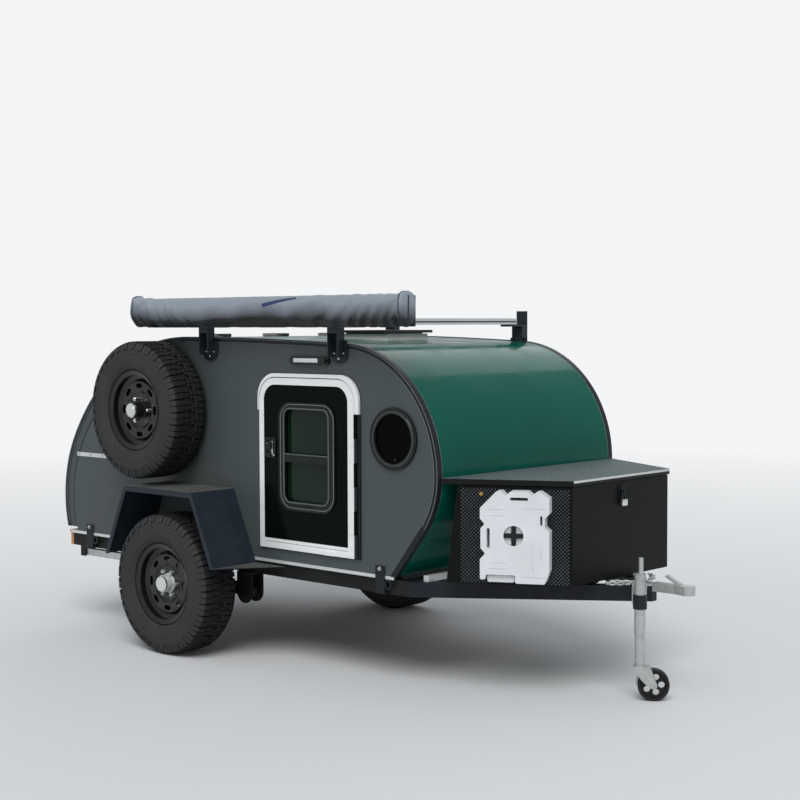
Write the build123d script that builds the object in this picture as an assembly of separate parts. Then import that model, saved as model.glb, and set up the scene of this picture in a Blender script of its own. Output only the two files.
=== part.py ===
from build123d import *
import math
import os

# A teardrop camping trailer, parked on its jockey wheel.
# Millimetres. X runs forward to the coupler, Y to the left, Z up from the ground.
# Stations along X are measured from the axle of the road wheels.

# Body
BODY_WIDTH = 1454.0
ROOF_Z = 1733.0
CROWN_X = -104.0
WALL = 32.0
SKIN = 30.0

# Outline of the body, as tangent arcs from the crown to the rear and to the front
REAR_UPPER_R = 1230.0
REAR_UPPER_TURN = 60.0
REAR_LOWER_R = 716.0
ROOF_R = 25000.0
ROOF_TURN = 2.89
NOSE_R = 640.0
CHIN_R = 440.0
CHIN_TURN = 38.0
TRIM_WIDTH = 27.0
TRIM_THICK = 3.0

# Hatch
HATCH_X = -150.0
HATCH_CHEEK = 78.0
HATCH_GAP = 7.0
HATCH_SKIN = 25.0
HATCH_CLEAR = 23.0
HATCH_KNUCKLE_R = 9.0
HATCH_KNUCKLE_LENGTH = 100.0
HATCH_KNUCKLES = (-560.0, -100.0, 360.0)
HATCH_LEAF = 50.0
HATCH_HANDLE_WIDTH = 96.0
HATCH_HANDLE_HEIGHT = 62.0
HATCH_HANDLE_PLATE = 5.0
HATCH_HANDLE_OUT = 31.0
HATCH_GRIP_R = 7.0

# Galley behind the hatch
BULKHEAD_SETBACK = 40.0
BULKHEAD_FOOT_X = -600.0
BOARD = 18.0
COUNTER_Z = 990.0
SHELF_Z = 1190.0
COUNTER_OVERHANG = 40.0
COUNTER_SETBACK = 60.0
DIVIDER_HALF = 260.0

# Frame
RAIL_HEIGHT = 76.0
RAIL_WIDTH = 51.0
RAIL_TOP = 535.0
RAIL_INSET = 17.0
RAIL_REAR_INSET = 50.1371
FRAME_CORNER_BACK = 202.1978
ARM_REACH = 956.7086
ARM_TIP_HALF = 20.0
CROSS_FIRST_X = -520.0
CROSS_PITCH = 580.0
CROSS_COUNT = 4
FLOOR_THICK = 17.0
STRIP_THICK = 3.0
TONGUE_BAR_AHEAD = 44.0
TONGUE_BAR = 30.0
TONGUE_BAR_INSET = 24.0

# Coupler
BALL_AHEAD = 190.0
BALL_R = 25.6
BALL_FIT = 1.0
BALL_Z = 515.0
COUPLER_PLATE = 8.0
COUPLER_WALL = 6.0
COUPLER_RIM = 6.0
COUPLER_HEIGHT = 43.0
COUPLER_REACH_BACK = 60.0
COUPLER_NECK = 120.0
COUPLER_LEVER_LENGTH = 92.0
COUPLER_LEVER_RISE = 34.0
COUPLER_LEVER_FOOT = 24.0
COUPLER_LEVER_THICK = 10.0

# Road wheels and tyres
TYRE_R = 387.0
TYRE_WIDTH = 245.0
TREAD_WIDTH = 204.0
TYRE_CLEAR = 55.5
RIM_LIP_R = 221.0
RIM_SEAT_R = 203.0
RIM_WIDTH = 202.0
RIM_WALL = 6.0
DISC_INSET = 52.0
DISC_THICK = 5.0
DISC_RAISE = 12.0
DISC_BORE = 52.0
DISC_SEAT_R = 92.0
DISC_RING_R = 112.0
DISC_EDGE_R = 160.0
WELL_DEPTH = 26.0
WINDOW_COUNT = 8
WINDOW_LENGTH = 52.0
WINDOW_HEIGHT = 26.0
LUG_PCD = 139.7
LUG_COUNT = 6
STUD_R = 6.5
NUT_R = 11.0
SPINDLE_R = 22.0
HUB_FIT = 0.06
HUB_BARREL_R = 46.0
HUB_CAP_R = 33.0
HUB_CAP_OUT = 50.0
HUB_LENGTH = 70.0
SPINDLE_SHORT = 10.0
DRUM_R = 127.0
DRUM_DEPTH = 56.0
DRUM_WALL = 8.0
BACKPLATE_GAP = 3.0

# Suspension
PIVOT_X = 366.0
PIVOT_Z = 350.0
PIVOT_PIN_R = 12.0
PIVOT_BUSH = 1.0
ARM_BOX_WIDTH = 60.0
ARM_BOX_HEIGHT = 70.0
ARM_EYE_R = 34.0
HANGER_R = 62.0
HANGER_PLATE = 8.0
HANGER_CLEAR = 4.0
SPRING_R = 34.0
SPRING_X = 95.0
SPRING_WAIST = 6.0

# Fenders
FENDER_BUMP = 137.0
FENDER_COVER = 4.5
FENDER_REACH = 79.0
FENDER_RUN = 178.0
FENDER_FOOT_DROP = 20.0
FENDER_THICK = 4.0
FENDER_LIP = 30.0
STEP_LENGTH = 225.0
STEP_DROP = 30.0
STEP_HOLE_R = 13.0
STEP_HOLE_PITCH = 50.0
STEP_HOLE_COUNT = 3
STEP_HOLE_OUT = 34.0

# Doors
DOOR_REAR = 563.0
DOOR_FRONT = 1174.0
DOOR_BOTTOM = 639.0
DOOR_TOP = 1483.0
DOOR_CORE = 34.0
DOOR_GAP = 9.0
DOOR_CORNER = 95.0
LEAF_REAR = 514.0
LEAF_FRONT = 1216.0
LEAF_BOTTOM = 617.0
LEAF_TOP = 1522.0
LEAF_CORNER = 118.0
LEAF_LAP = 10.0
LEAF_SEAL = 2.0
RIM_REAR = 36.0
RIM_FRONT = 44.0
RIM_TOP = 36.0
RIM_BOTTOM = 52.0
PANEL_SINK = 4.0
FLANGE_REAR = 503.0
FLANGE_FRONT = 1251.0
FLANGE_BOTTOM = 612.0
FLANGE_TOP = 1546.0
FLANGE_CORNER = 130.0
FLANGE_THICK = 4.0
GUTTER_END_Z = 1350.0
GUTTER_OUT = 18.0
GUTTER_CLEAR = 5.0
LINING = 3.0
HINGE_BACK = 12.0
HINGE_OUT = 3.0
HINGE_STRIP = 7.0
HINGE_SEGMENTS = 6
HINGE_SLIT = 2.0
KNUCKLE_R = 6.0
HINGE_PIN_R = 3.0
HINGE_LEAF = 3.0
LATCH_X = 1039.0
LATCH_WIDTH = 66.0
LATCH_HEIGHT = 24.0
LATCH_OUT = 6.0

# Door windows and handles
WINDOW_REAR = 665.0
WINDOW_FRONT = 1081.0
WINDOW_BOTTOM = 828.0
WINDOW_TOP = 1396.0
WINDOW_CORNER = 84.0
WINDOW_RIM = 48.0
WINDOW_RIM_TOP = 38.0
PANE_CORNER = 40.0
WINDOW_BAR = 44.0
WINDOW_BAR_Z = 1105.0
WINDOW_PROUD = 8.0
GLASS = 5.0
HANDLE_WIDTH = 76.0
HANDLE_HEIGHT = 105.0
HANDLE_PLATE = 8.0
HANDLE_GRIP = 12.0
HANDLE_Z = 1152.0
HANDLE_INSET = 52.0
HANDLE_CORNER = 12.0
POCKET_DEPTH = 5.0

# Porthole and porch lights
PORTHOLE_X = 1477.0
PORTHOLE_Z = 1238.0
PORTHOLE_R = 155.0
PORTHOLE_RING = 28.0
PORTHOLE_COLLAR = 4.0
PORTHOLE_PROUD = 12.0
LIGHT_X = 893.0
LIGHT_Z = 1616.0
LIGHT_LENGTH = 290.0
LIGHT_HEIGHT = 43.0
LIGHT_BASE = 16.0
LIGHT_DEPTH = 28.0
LIGHT_MARGIN = 15.0

# Spare wheel
SPARE_X = -286.0
SPARE_Z = 1327.0
SPARE_GAP = 10.0
SPARE_PLATE = 210.0
SPARE_PLATE_THICK = 6.0
SPARE_POST_R = 32.0
SPARE_SPINDLE_R = 24.0
SPARE_SPINDLE_OUT = 62.0
SPARE_CAP_R = 30.0
SPARE_CAP = 12.0

# Toolbox on the tongue
BOX_REAR_GAP = 6.0
BOX_REAR_INSET = 12.0
BOX_LENGTH = 563.8022
BOX_FRONT_HALF = 414.0
BOX_BOTTOM = 558.0
BOX_TOP = 1030.0
BOX_WALL = 3.0
BOX_BACK_HEAD = 64.8022
BOX_BACK_FOOT = 16.8022
BOX_FOOT = 60.0
BOX_FOOT_MARGIN = 30.0
LID_TOP = 1062.0
LID_LIP = 28.0
LID_THICK = 3.0
LID_GAP = 5.0
LID_AXIS_DROP = 21.0
LID_KNUCKLE = 60.0
LID_KNUCKLE_R = 5.0
LID_KNUCKLE_GAP = 5.0
LID_HINGE_Y = 358.0
LID_PIN_R = 2.4

# Water container on the box's right face
CAN_ALONG = 367.0
CAN_DEPTH = 84.0
CAN_MOUNT = 8.0
CAN_LEFT = 161.0
CAN_RIGHT = 170.0
CAN_TOP = 1014.0
CAN_FOOT = 580.0
CAN_CORNER = 9.0
CAN_FOOT_STEP = 14.0
CAN_FOOT_NOTCH_Z = 618.0
CAN_FOOT_NOTCH_END = 8.0
CAN_NOTCH_LEFT = 135.0
CAN_WAIST_LEFT = 158.0
CAN_SHOULDER_LEFT = 138.0
CAN_WAIST_RIGHT = 148.0
CAN_LEFT_STEPS = (691.0, 718.0, 742.0, 838.0, 858.0, 883.0, 934.0)
CAN_RIGHT_STEPS = (984.0, 911.0, 891.0, 847.0, 826.0, 640.0)
CAN_TOP_STEPS = (-82.0, -60.0, -39.0, -16.0, 66.0, 89.0, 108.0, 126.0)
CAN_TOP_NOTCHES = (991.0, 994.0)
CAN_MOUNT_WIDTH = 200.0
CAN_MOUNT_HEIGHT = 240.0
CAN_CAP_AT = -64.0
CAN_CAP_WIDTH = 130.0
CAN_CAP_HEIGHT = 30.0
CAN_CAP_RISE = 16.0
CAN_NECK_WIDTH = 60.0
CAN_NECK_HEIGHT = 12.0
CAN_NECK_RISE = 34.0
CAN_GRIPS = ((26.0, 979.0), (-121.0, 791.0), (132.0, 879.0))
CAN_GRIP_LENGTHS = (86.0, 95.0, 46.0)
CAN_GRIP_THIN = 3.0
CAN_CENTRE_Z = 805.0
CAN_RECESS_R = 48.0
CAN_RECESS = 20.0
CAN_KNOB = 94.0
CAN_KNOB_BAR = 22.0
CAN_KNOB_THICK = 18.0
CAN_POST_R = 9.0
CAN_SLOT = 15.0
SEAT_GAP = 0.3

# Jack
JACK_FROM_TIP = 61.5725
JACK_OUT = 92.0
JACK_PIVOT_Z = 474.0
JACK_TUBE_R = 26.5
JACK_TUBE_WALL = 3.0
JACK_TUBE_BELOW = 155.0
JACK_TUBE_ABOVE = 120.0
JACK_HEAD = 16.0
JACK_CRANK_LENGTH = 110.0
JACK_CRANK_R = 6.5
JACK_ARM_R = 5.0
JACK_GRIP_R = 11.0
JACK_GRIP_LENGTH = 76.0
JACK_SLIDE_FIT = 0.1
JACK_ENGAGED = 120.0
JACK_DISC_R = 34.0
JACK_DISC = 7.6
JACK_DISC_SEAT = 0.4
JACK_SPIGOT_R = 10.0
JACK_NUT_R = 16.0
JACK_NUT = 7.0
JACK_NUT_SEAT = 0.4
JACK_WHEEL_R = 76.0
JACK_TREAD = 14.0
JACK_WHEEL_WIDTH = 48.0
JACK_WEB = 16.0
JACK_SPOKES = 5
JACK_TRAIL = 65.0
JACK_FORK_DROP = 87.0
JACK_FORK_GAP = 5.0
JACK_FORK_PLATE = 5.0
JACK_CROWN = 6.0
JACK_CHEEK_BACK = 24.0
JACK_CHEEK_FRONT = 50.0
JACK_BOSS_R = 17.0
JACK_AXLE_R = 7.0
JACK_AXLE_END = 6.0
JACK_AXLE_FIT = 0.08
JACK_PLATE_WIDTH = 72.0
JACK_PLATE_TOP = 556.0
JACK_PLATE_THICK = 8.0
JACK_BOSS_LENGTH = 24.0
JACK_BLOCK_HEIGHT = 32.0
JACK_BLOCK_OUT = 16.0
JACK_SADDLE_R = 30.0

# Stabilising legs at the rear
LEG_FROM_REAR = 97.0
LEG_DROP = 35.0
LEG_LENGTH = 380.0
LEG_TUBE = 40.0
LEG_TUBE_WALL = 3.0
LEG_FOOT = 84.0
LEG_FOOT_THICK = 6.0
LEG_SIDE = 30.0
LEG_GAP = 5.0
LEG_EAR = 5.0
LEG_EAR_HALF = 26.0
LEG_PIN_R = 8.0
PIN_FIT = 0.08

# Roof gear
RACK_FIRST_X = 103.0
RACK_SPREAD = 1000.0
BRACKET_WIDTH = 75.0
BRACKET_DEPTH = 52.0
BRACKET_FOOT = 1608.0
BRACKET_CORNER = 30.0
BRACKET_THICK = 6.0
BAR_Z = 1815.0
BAR_HEIGHT = 34.0
BAR_DEPTH = 46.0
BAR_END_INSET = 27.0
BAG_REAR = -400.0
BAG_FRONT = 1750.0
BAG_BOTTOM = 1787.0
BAG_HEIGHT = 176.0
BAG_DEPTH = 120.0
BAG_CORNER = 40.0
SOFT_GAP = 0.3
VENT_X = 735.0
VENT_WIDTH = 360.0
VENT_BASE = 31.0
VENT_NECK = 5.0
VENT_NECK_INSET = 20.0
VENT_LID = 15.0
VENT_LID_GROW = 20.0
VENT_CORNER = 30.0

# Rear fittings
LAMP_WIDTH = 150.0
LAMP_HEIGHT = 74.0
LAMP_DEPTH = 26.0
PLATE_HOLE_SPACING = 178.0
PLATE_HOLE_R = 3.5
PLATE_WIDTH = 320.0
PLATE_HEIGHT = 120.0
PLATE_DROP = 60.0
PLATE_HOLE_DROP = 15.0
PLATE_THICK = 10.0
SEAM_Z = 1022.0
SEAM_HEIGHT = 24.0
SEAM_LENGTH = 720.0
SEAM_INSET = 42.0
SILL_INSET = 45.0

# Tie brackets on the rails
TIE_FRONT_X = 1384.0
TIE_REAR_X = -1018.0
TIE_WIDTH = 60.0
TIE_PLATE = 6.0
TIE_RISE = 64.0
TIE_RING_R = 25.0
TIE_RING_ROD = 5.0

# Safety chains
CHAIN_ROD = 7.0
CHAIN_PITCH = 22.0
CHAIN_WIDTH = 24.0
CHAIN_SLACK = 0.4
CHAIN_FROM_TIP = 189.5725
CHAIN_LINKS = 5
CHAIN_TILT = 45.0
CHAIN_PIN_R = 4.0
CHAIN_PIN_HEAD_R = 8.0
CHAIN_PIN_HEAD = 5.0
CHAIN_PIN_SHIFT = 5.0

# Values that follow from the sizes above
HALF = BODY_WIDTH / 2
WALL_INNER = HALF - WALL
BODY_BOTTOM = RAIL_TOP + FLOOR_THICK
HATCH_BOTTOM = BODY_BOTTOM + HATCH_CLEAR
RAIL_HALF = HALF - RAIL_INSET
RAIL_INNER = RAIL_HALF - RAIL_WIDTH
RAIL_BOTTOM = RAIL_TOP - RAIL_HEIGHT
REAR_UPPER_RADIANS = math.radians(REAR_UPPER_TURN)
ROOF_RADIANS = math.radians(ROOF_TURN)
REAR_A = (CROWN_X, ROOF_Z - REAR_UPPER_R)
REAR_B = (
    REAR_A[0] - (REAR_UPPER_R - REAR_LOWER_R) * math.sin(REAR_UPPER_RADIANS),
    REAR_A[1] + (REAR_UPPER_R - REAR_LOWER_R) * math.cos(REAR_UPPER_RADIANS),
)
ROOF_C = (CROWN_X, ROOF_Z - ROOF_R)
NOSE_C = (
    ROOF_C[0] + (ROOF_R - NOSE_R) * math.sin(ROOF_RADIANS),
    ROOF_C[1] + (ROOF_R - NOSE_R) * math.cos(ROOF_RADIANS),
)
CHIN_C = (NOSE_C[0] + NOSE_R - CHIN_R, NOSE_C[1])
BODY_REAR = REAR_B[0] - REAR_LOWER_R
BODY_FRONT = NOSE_C[0] + NOSE_R
RAIL_REAR = BODY_REAR + RAIL_REAR_INSET
LEG_X = RAIL_REAR + LEG_FROM_REAR
FRAME_CORNER_X = BODY_FRONT - FRAME_CORNER_BACK
ARM_END_X = FRAME_CORNER_X + ARM_REACH
ARM_TURN = math.atan((RAIL_HALF - ARM_TIP_HALF) / ARM_REACH)
ARM_ANGLE = math.degrees(ARM_TURN)
ARM_SLOPE = math.tan(ARM_TURN)
ARM_DIR = (math.cos(ARM_TURN), math.sin(ARM_TURN))
ARM_OUT = (math.sin(ARM_TURN), -math.cos(ARM_TURN))
ARM_MITRE = math.tan(ARM_TURN / 2) * RAIL_WIDTH
ARM_MEET_X = FRAME_CORNER_X + (RAIL_HALF - RAIL_WIDTH / ARM_DIR[0]) / ARM_SLOPE
ARM_LENGTH = (ARM_END_X - FRAME_CORNER_X) / ARM_DIR[0]
BALL_X = ARM_END_X + BALL_AHEAD
COUPLER_R = BALL_R + BALL_FIT + COUPLER_WALL
WHEEL_Y = HALF + TYRE_CLEAR + TYRE_WIDTH / 2
FENDER_Y = WHEEL_Y + TYRE_WIDTH / 2 + FENDER_COVER
FENDER_TOP = 2 * TYRE_R + FENDER_BUMP
FENDER_FOOT = RAIL_TOP - FENDER_FOOT_DROP
FENDER_HALF_FOOT = TYRE_R + FENDER_REACH
FENDER_HALF_TOP = FENDER_HALF_FOOT - FENDER_RUN
LEAF_OUT = -HALF - FLANGE_THICK - LEAF_SEAL - LEAF_LAP
PANEL_OUT = LEAF_OUT + PANEL_SINK
HINGE_X = LEAF_FRONT + HINGE_BACK
HINGE_Y = -LEAF_OUT + HINGE_OUT
BOX_REAR_X = BODY_FRONT + TRIM_THICK + BOX_REAR_GAP
BOX_FRONT_X = BOX_REAR_X + BOX_LENGTH
BOX_BACK_TOP_X = BOX_REAR_X + BOX_BACK_HEAD
BOX_BACK_FOOT_X = BOX_REAR_X + BOX_BACK_FOOT
BOX_REAR_HALF = HALF - BOX_REAR_INSET
BOX_TAPER = (BOX_REAR_HALF - BOX_FRONT_HALF) / (BOX_FRONT_X - BOX_REAR_X)
BOX_TURN = math.atan(BOX_TAPER)
LID_OVERLAP = (LID_THICK + LID_GAP) / math.cos(BOX_TURN)
LID_AXIS_X = BOX_BACK_TOP_X + BOX_WALL / 2
LID_AXIS_Z = LID_TOP - LID_AXIS_DROP
LEG_Y = RAIL_HALF - LEG_SIDE
LEG_Z = RAIL_BOTTOM - LEG_DROP
BAR_HALF = HALF - BAR_END_INSET
CHAIN_START = ARM_LENGTH - CHAIN_FROM_TIP
JACK_ALONG = ARM_LENGTH - JACK_FROM_TIP
JACK_FACE = (
    FRAME_CORNER_X + JACK_ALONG * ARM_DIR[0],
    -RAIL_HALF + JACK_ALONG * ARM_DIR[1],
)
JACK_AXIS = (JACK_FACE[0] + ARM_OUT[0] * JACK_OUT, JACK_FACE[1] + ARM_OUT[1] * JACK_OUT)
JACK_TUBE_BOTTOM = JACK_PIVOT_Z - JACK_TUBE_BELOW
JACK_STEM = JACK_WHEEL_R + JACK_FORK_DROP
NOSE_TIP = BALL_X + COUPLER_R
TAIL_TIP = BODY_REAR - HATCH_HANDLE_OUT
ORIGIN_X = (NOSE_TIP + TAIL_TIP) / 2


# Helpers
def block(x0, x1, y0, y1, z0, z1):
    """A box between two opposite corners."""
    return Pos((x0 + x1) / 2, (y0 + y1) / 2, (z0 + z1) / 2) * Box(x1 - x0, y1 - y0, z1 - z0)


def rod(start, end, radius):
    """A cylinder from one point to another."""
    axis = Vector(*end) - Vector(*start)
    return extrude(Plane(origin=start, z_dir=axis) * Circle(radius), amount=axis.length)


def tube(start, end, radius, wall):
    """A round tube from one point to another."""
    axis = Vector(*end) - Vector(*start)
    ring = Circle(radius) - Circle(radius - wall)
    return extrude(Plane(origin=start, z_dir=axis) * ring, amount=axis.length)


def side_plate(face, y0, y1):
    """A face drawn in X and Z, made solid from y0 to y1."""
    return extrude(Plane.XZ.offset(-y1) * face, amount=y1 - y0)


def plan_plate(points, z0, z1):
    """A polygon drawn in X and Y, made solid from z0 to z1."""
    return extrude(Plane.XY.offset(z0) * polygon(points), amount=z1 - z0)


def polygon(points):
    """A flat face inside a closed line of points."""
    return make_face(Polyline(points, close=True))


def both(shape):
    """The shape and its mirror image on the other side."""
    return Compound(list(shape.solids()) + list(mirror(shape, Plane.XZ).solids()))


def solids_of(*shapes):
    """Separate solids in one node."""
    return Compound([s for shape in shapes for s in shape.solids()])


def side_of(shape, sign):
    """The shape is drawn on the right, at -Y: sign 1 mirrors it to the left."""
    return mirror(shape, Plane.XZ) if sign > 0 else shape


def save(name, shape):
    """Write one piece, moved so that the origin is under the middle."""
    move = Location((-ORIGIN_X, 0, 0))
    solids = [solid.moved(move) for solid in shape.solids()]
    export_step(solids[0] if len(solids) == 1 else Compound(solids), f"parts/{name}.step")


def save_pair(name, shape):
    """Write a piece drawn on the right and its mirror image on the left."""
    save(f"{name}_right", side_of(shape, -1))
    save(f"{name}_left", side_of(shape, 1))


def on_arc(centre, radius, turn):
    """A point on an arc, turned forward from straight up by an angle in degrees."""
    angle = math.radians(turn)
    return (centre[0] + radius * math.sin(angle), centre[1] + radius * math.cos(angle))


def arc(centre, radius, start, end):
    """An arc about a centre, between two turns from straight up."""
    stops = [on_arc(centre, radius, t) for t in (start, (start + end) / 2, end)]
    return ThreePointArc(*stops)


def outline(inset, bottom=BODY_BOTTOM):
    """The body's side outline as a face in X and Z, moved inwards by an inset."""
    lower_r = REAR_LOWER_R - inset
    foot_turn = -90.0 - math.degrees(math.asin((REAR_B[1] - bottom) / lower_r))
    chin_end = 90.0 + CHIN_TURN
    chin = on_arc(CHIN_C, CHIN_R - inset, chin_end)
    drop = chin[1] - bottom
    toe = (chin[0] - drop * math.tan(math.radians(CHIN_TURN)), bottom)
    heel = on_arc(REAR_B, lower_r, foot_turn)
    edges = [
        arc(REAR_B, lower_r, foot_turn, -REAR_UPPER_TURN),
        arc(REAR_A, REAR_UPPER_R - inset, -REAR_UPPER_TURN, 0.0),
        arc(ROOF_C, ROOF_R - inset, 0.0, ROOF_TURN),
        arc(NOSE_C, NOSE_R - inset, ROOF_TURN, 90.0),
        arc(CHIN_C, CHIN_R - inset, 90.0, chin_end),
        Line(chin, toe),
        Line(toe, heel),
    ]
    return make_face(edges)


def shell_band(outer_inset, inner_inset, zone):
    """A band between two insets of the outline, inside a zone."""
    return (outline(outer_inset) - outline(inner_inset, BODY_BOTTOM - 1.0)) & zone


def roof_height(x):
    """The height of the roof's surface at a station on the roof's long arc."""
    return ROOF_C[1] + math.sqrt(ROOF_R ** 2 - (x - ROOF_C[0]) ** 2)


def zone_between(x0, x1, bottom=BODY_BOTTOM):
    """A tall face in X and Z between two stations, from a height up."""
    return Pos((x0 + x1) / 2, bottom + ROOF_Z / 2) * Rectangle(x1 - x0, ROOF_Z)


def rounded(x0, x1, z0, z1, radius):
    """A rectangle in X and Z with rounded corners."""
    return Pos((x0 + x1) / 2, (z0 + z1) / 2) * RectangleRounded(x1 - x0, z1 - z0, radius)


def arched(x0, x1, z0, z1, radius):
    """A rectangle in X and Z with its two upper corners rounded."""
    lower = Pos((x0 + x1) / 2, (z0 + z1 - radius) / 2) * Rectangle(x1 - x0, z1 - radius - z0)
    return lower + rounded(x0, x1, z0, z1, radius)


def arm_outer_y(x):
    """How far the tongue arm's outer face stands from the centre line at a station."""
    return RAIL_HALF - (x - FRAME_CORNER_X) * ARM_SLOPE


def chain_place(along):
    """The middle of a chain link that lies on the right tongue arm, at a distance along it."""
    lie = (CHAIN_WIDTH + CHAIN_ROD) / 2 * math.sin(math.radians(CHAIN_TILT))
    middle = RAIL_WIDTH / 2
    x = FRAME_CORNER_X + along * ARM_DIR[0] - ARM_OUT[0] * middle
    y = -RAIL_HALF + along * ARM_DIR[1] - ARM_OUT[1] * middle
    return Pos(x, y, RAIL_TOP + lie + SEAT_GAP) * Rot(0, 0, ARM_ANGLE)


def chain_pin():
    """A headed pin that leans out of the arm's top through the chain's foremost link."""
    turn = CHAIN_TILT if (CHAIN_LINKS - 1) % 2 else -CHAIN_TILT
    place = chain_place(CHAIN_START + CHAIN_PITCH * (CHAIN_LINKS - 1) + CHAIN_PIN_SHIFT)
    place *= Rot(turn, 0, 0)
    head = CHAIN_ROD / 2 + 1.0
    pin = extrude(Plane.XY.offset(-CHAIN_WIDTH) * Circle(CHAIN_PIN_R), amount=CHAIN_WIDTH + head + 1.0)
    pin += extrude(Plane.XY.offset(head) * Circle(CHAIN_PIN_HEAD_R), amount=CHAIN_PIN_HEAD)
    return place * pin


# Frame
def rail_with_fittings():
    """The right main rail with its suspension hanger and its ears for the stabilising leg."""
    rail = plan_plate(
        [(RAIL_REAR, -RAIL_HALF), (FRAME_CORNER_X, -RAIL_HALF),
         (FRAME_CORNER_X - ARM_MITRE, -RAIL_INNER), (RAIL_REAR, -RAIL_INNER)],
        RAIL_BOTTOM, RAIL_TOP)
    mid_y = -RAIL_HALF + RAIL_WIDTH / 2
    half = ARM_BOX_WIDTH / 2 + HANGER_CLEAR
    cheek = Pos(PIVOT_X, PIVOT_Z) * Circle(HANGER_R)
    cheek += rounded(PIVOT_X - HANGER_R, PIVOT_X + HANGER_R, PIVOT_Z, RAIL_BOTTOM, 1.0)
    for y0 in (mid_y - half - HANGER_PLATE, mid_y + half):
        rail += side_plate(cheek, y0, y0 + HANGER_PLATE)
    rail += block(PIVOT_X - HANGER_R, PIVOT_X + HANGER_R, mid_y - half - HANGER_PLATE,
                  mid_y + half + HANGER_PLATE, RAIL_BOTTOM - HANGER_PLATE, RAIL_BOTTOM)
    pin_half = half + HANGER_PLATE
    rail += rod((PIVOT_X, mid_y - pin_half, PIVOT_Z), (PIVOT_X, mid_y + pin_half, PIVOT_Z),
                PIVOT_PIN_R)
    ear = LEG_TUBE / 2 + LEG_GAP
    for y0 in (-LEG_Y - ear - LEG_EAR, -LEG_Y + ear):
        rail += block(LEG_X - LEG_EAR_HALF, LEG_X + LEG_EAR_HALF, y0, y0 + LEG_EAR,
                      LEG_Z - LEG_EAR_HALF, RAIL_BOTTOM)
    reach = ear + LEG_EAR
    rail += rod((LEG_X, -LEG_Y - reach, LEG_Z), (LEG_X, -LEG_Y + reach, LEG_Z), LEG_PIN_R)
    return rail


def make_frame():
    """Rails, cross members, tongue arms and the bar across them."""
    save("main_rails", both(rail_with_fittings()))
    front_x = FRAME_CORNER_X - ARM_MITRE - RAIL_WIDTH
    between = [CROSS_FIRST_X + CROSS_PITCH * i for i in range(CROSS_COUNT)]
    members = [block(x, x + RAIL_WIDTH, -RAIL_INNER, RAIL_INNER, RAIL_BOTTOM, RAIL_TOP)
               for x in (RAIL_REAR, *between, front_x)]
    save("cross_members", solids_of(*members))
    arm = plan_plate(
        [(FRAME_CORNER_X, -RAIL_HALF), (ARM_END_X, -ARM_TIP_HALF), (ARM_END_X, 0.0),
         (ARM_MEET_X, 0.0), (FRAME_CORNER_X - ARM_MITRE, -RAIL_INNER)],
        RAIL_BOTTOM, RAIL_TOP)
    arm += chain_pin()
    save("tongue_arms", arm + mirror(arm, Plane.XZ))
    bar_x = FRAME_CORNER_X + TONGUE_BAR_AHEAD
    bar_half = arm_outer_y(bar_x) - TONGUE_BAR_INSET
    bar = block(bar_x, bar_x + TONGUE_BAR, -bar_half, bar_half, RAIL_TOP, RAIL_TOP + TONGUE_BAR)
    save("tongue_bar", bar)


def make_coupler():
    """Ball coupler: a plate across the arms' tips, a socket with a round nose, and its lever."""
    back_x = ARM_END_X - COUPLER_REACH_BACK
    back_half = arm_outer_y(back_x)
    plate = plan_plate(
        [(back_x, -back_half), (ARM_END_X, -ARM_TIP_HALF), (BALL_X, -ARM_TIP_HALF),
         (BALL_X, ARM_TIP_HALF), (ARM_END_X, ARM_TIP_HALF), (back_x, back_half)],
        RAIL_TOP, RAIL_TOP + COUPLER_PLATE)
    base = BALL_Z - COUPLER_RIM
    neck_x = ARM_END_X + SEAT_GAP
    head_x = ARM_END_X + COUPLER_NECK
    body = plan_plate(
        [(neck_x, -ARM_TIP_HALF), (head_x, -ARM_TIP_HALF), (BALL_X, -COUPLER_R),
         (BALL_X, COUPLER_R), (head_x, ARM_TIP_HALF), (neck_x, ARM_TIP_HALF)],
        base, base + COUPLER_HEIGHT)
    body += rod((BALL_X, 0, base), (BALL_X, 0, base + COUPLER_HEIGHT), COUPLER_R)
    body -= Pos(BALL_X, 0, BALL_Z) * Sphere(BALL_R + BALL_FIT)
    body -= rod((BALL_X, 0, base - 1.0), (BALL_X, 0, BALL_Z), BALL_R + BALL_FIT)
    top = base + COUPLER_HEIGHT
    lever_x = BALL_X - COUPLER_R
    tip_x = lever_x - COUPLER_LEVER_LENGTH
    tip_z = top + COUPLER_LEVER_RISE
    side = polygon([
        (lever_x, top - 1.0), (lever_x - COUPLER_LEVER_FOOT, top - 1.0), (tip_x, tip_z),
        (tip_x + COUPLER_LEVER_THICK, tip_z + COUPLER_LEVER_THICK),
        (lever_x - COUPLER_LEVER_THICK, top + COUPLER_LEVER_THICK)])
    lever = side_plate(side, -COUPLER_R / 3, COUPLER_R / 3)
    save("coupler", plate + body + lever)


# Body shell
def door_opening(grow):
    """The doorway's outline, larger than the door's core by a margin."""
    return arched(DOOR_REAR - grow, DOOR_FRONT + grow, DOOR_BOTTOM - grow, DOOR_TOP + grow,
                  DOOR_CORNER + grow)


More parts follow.
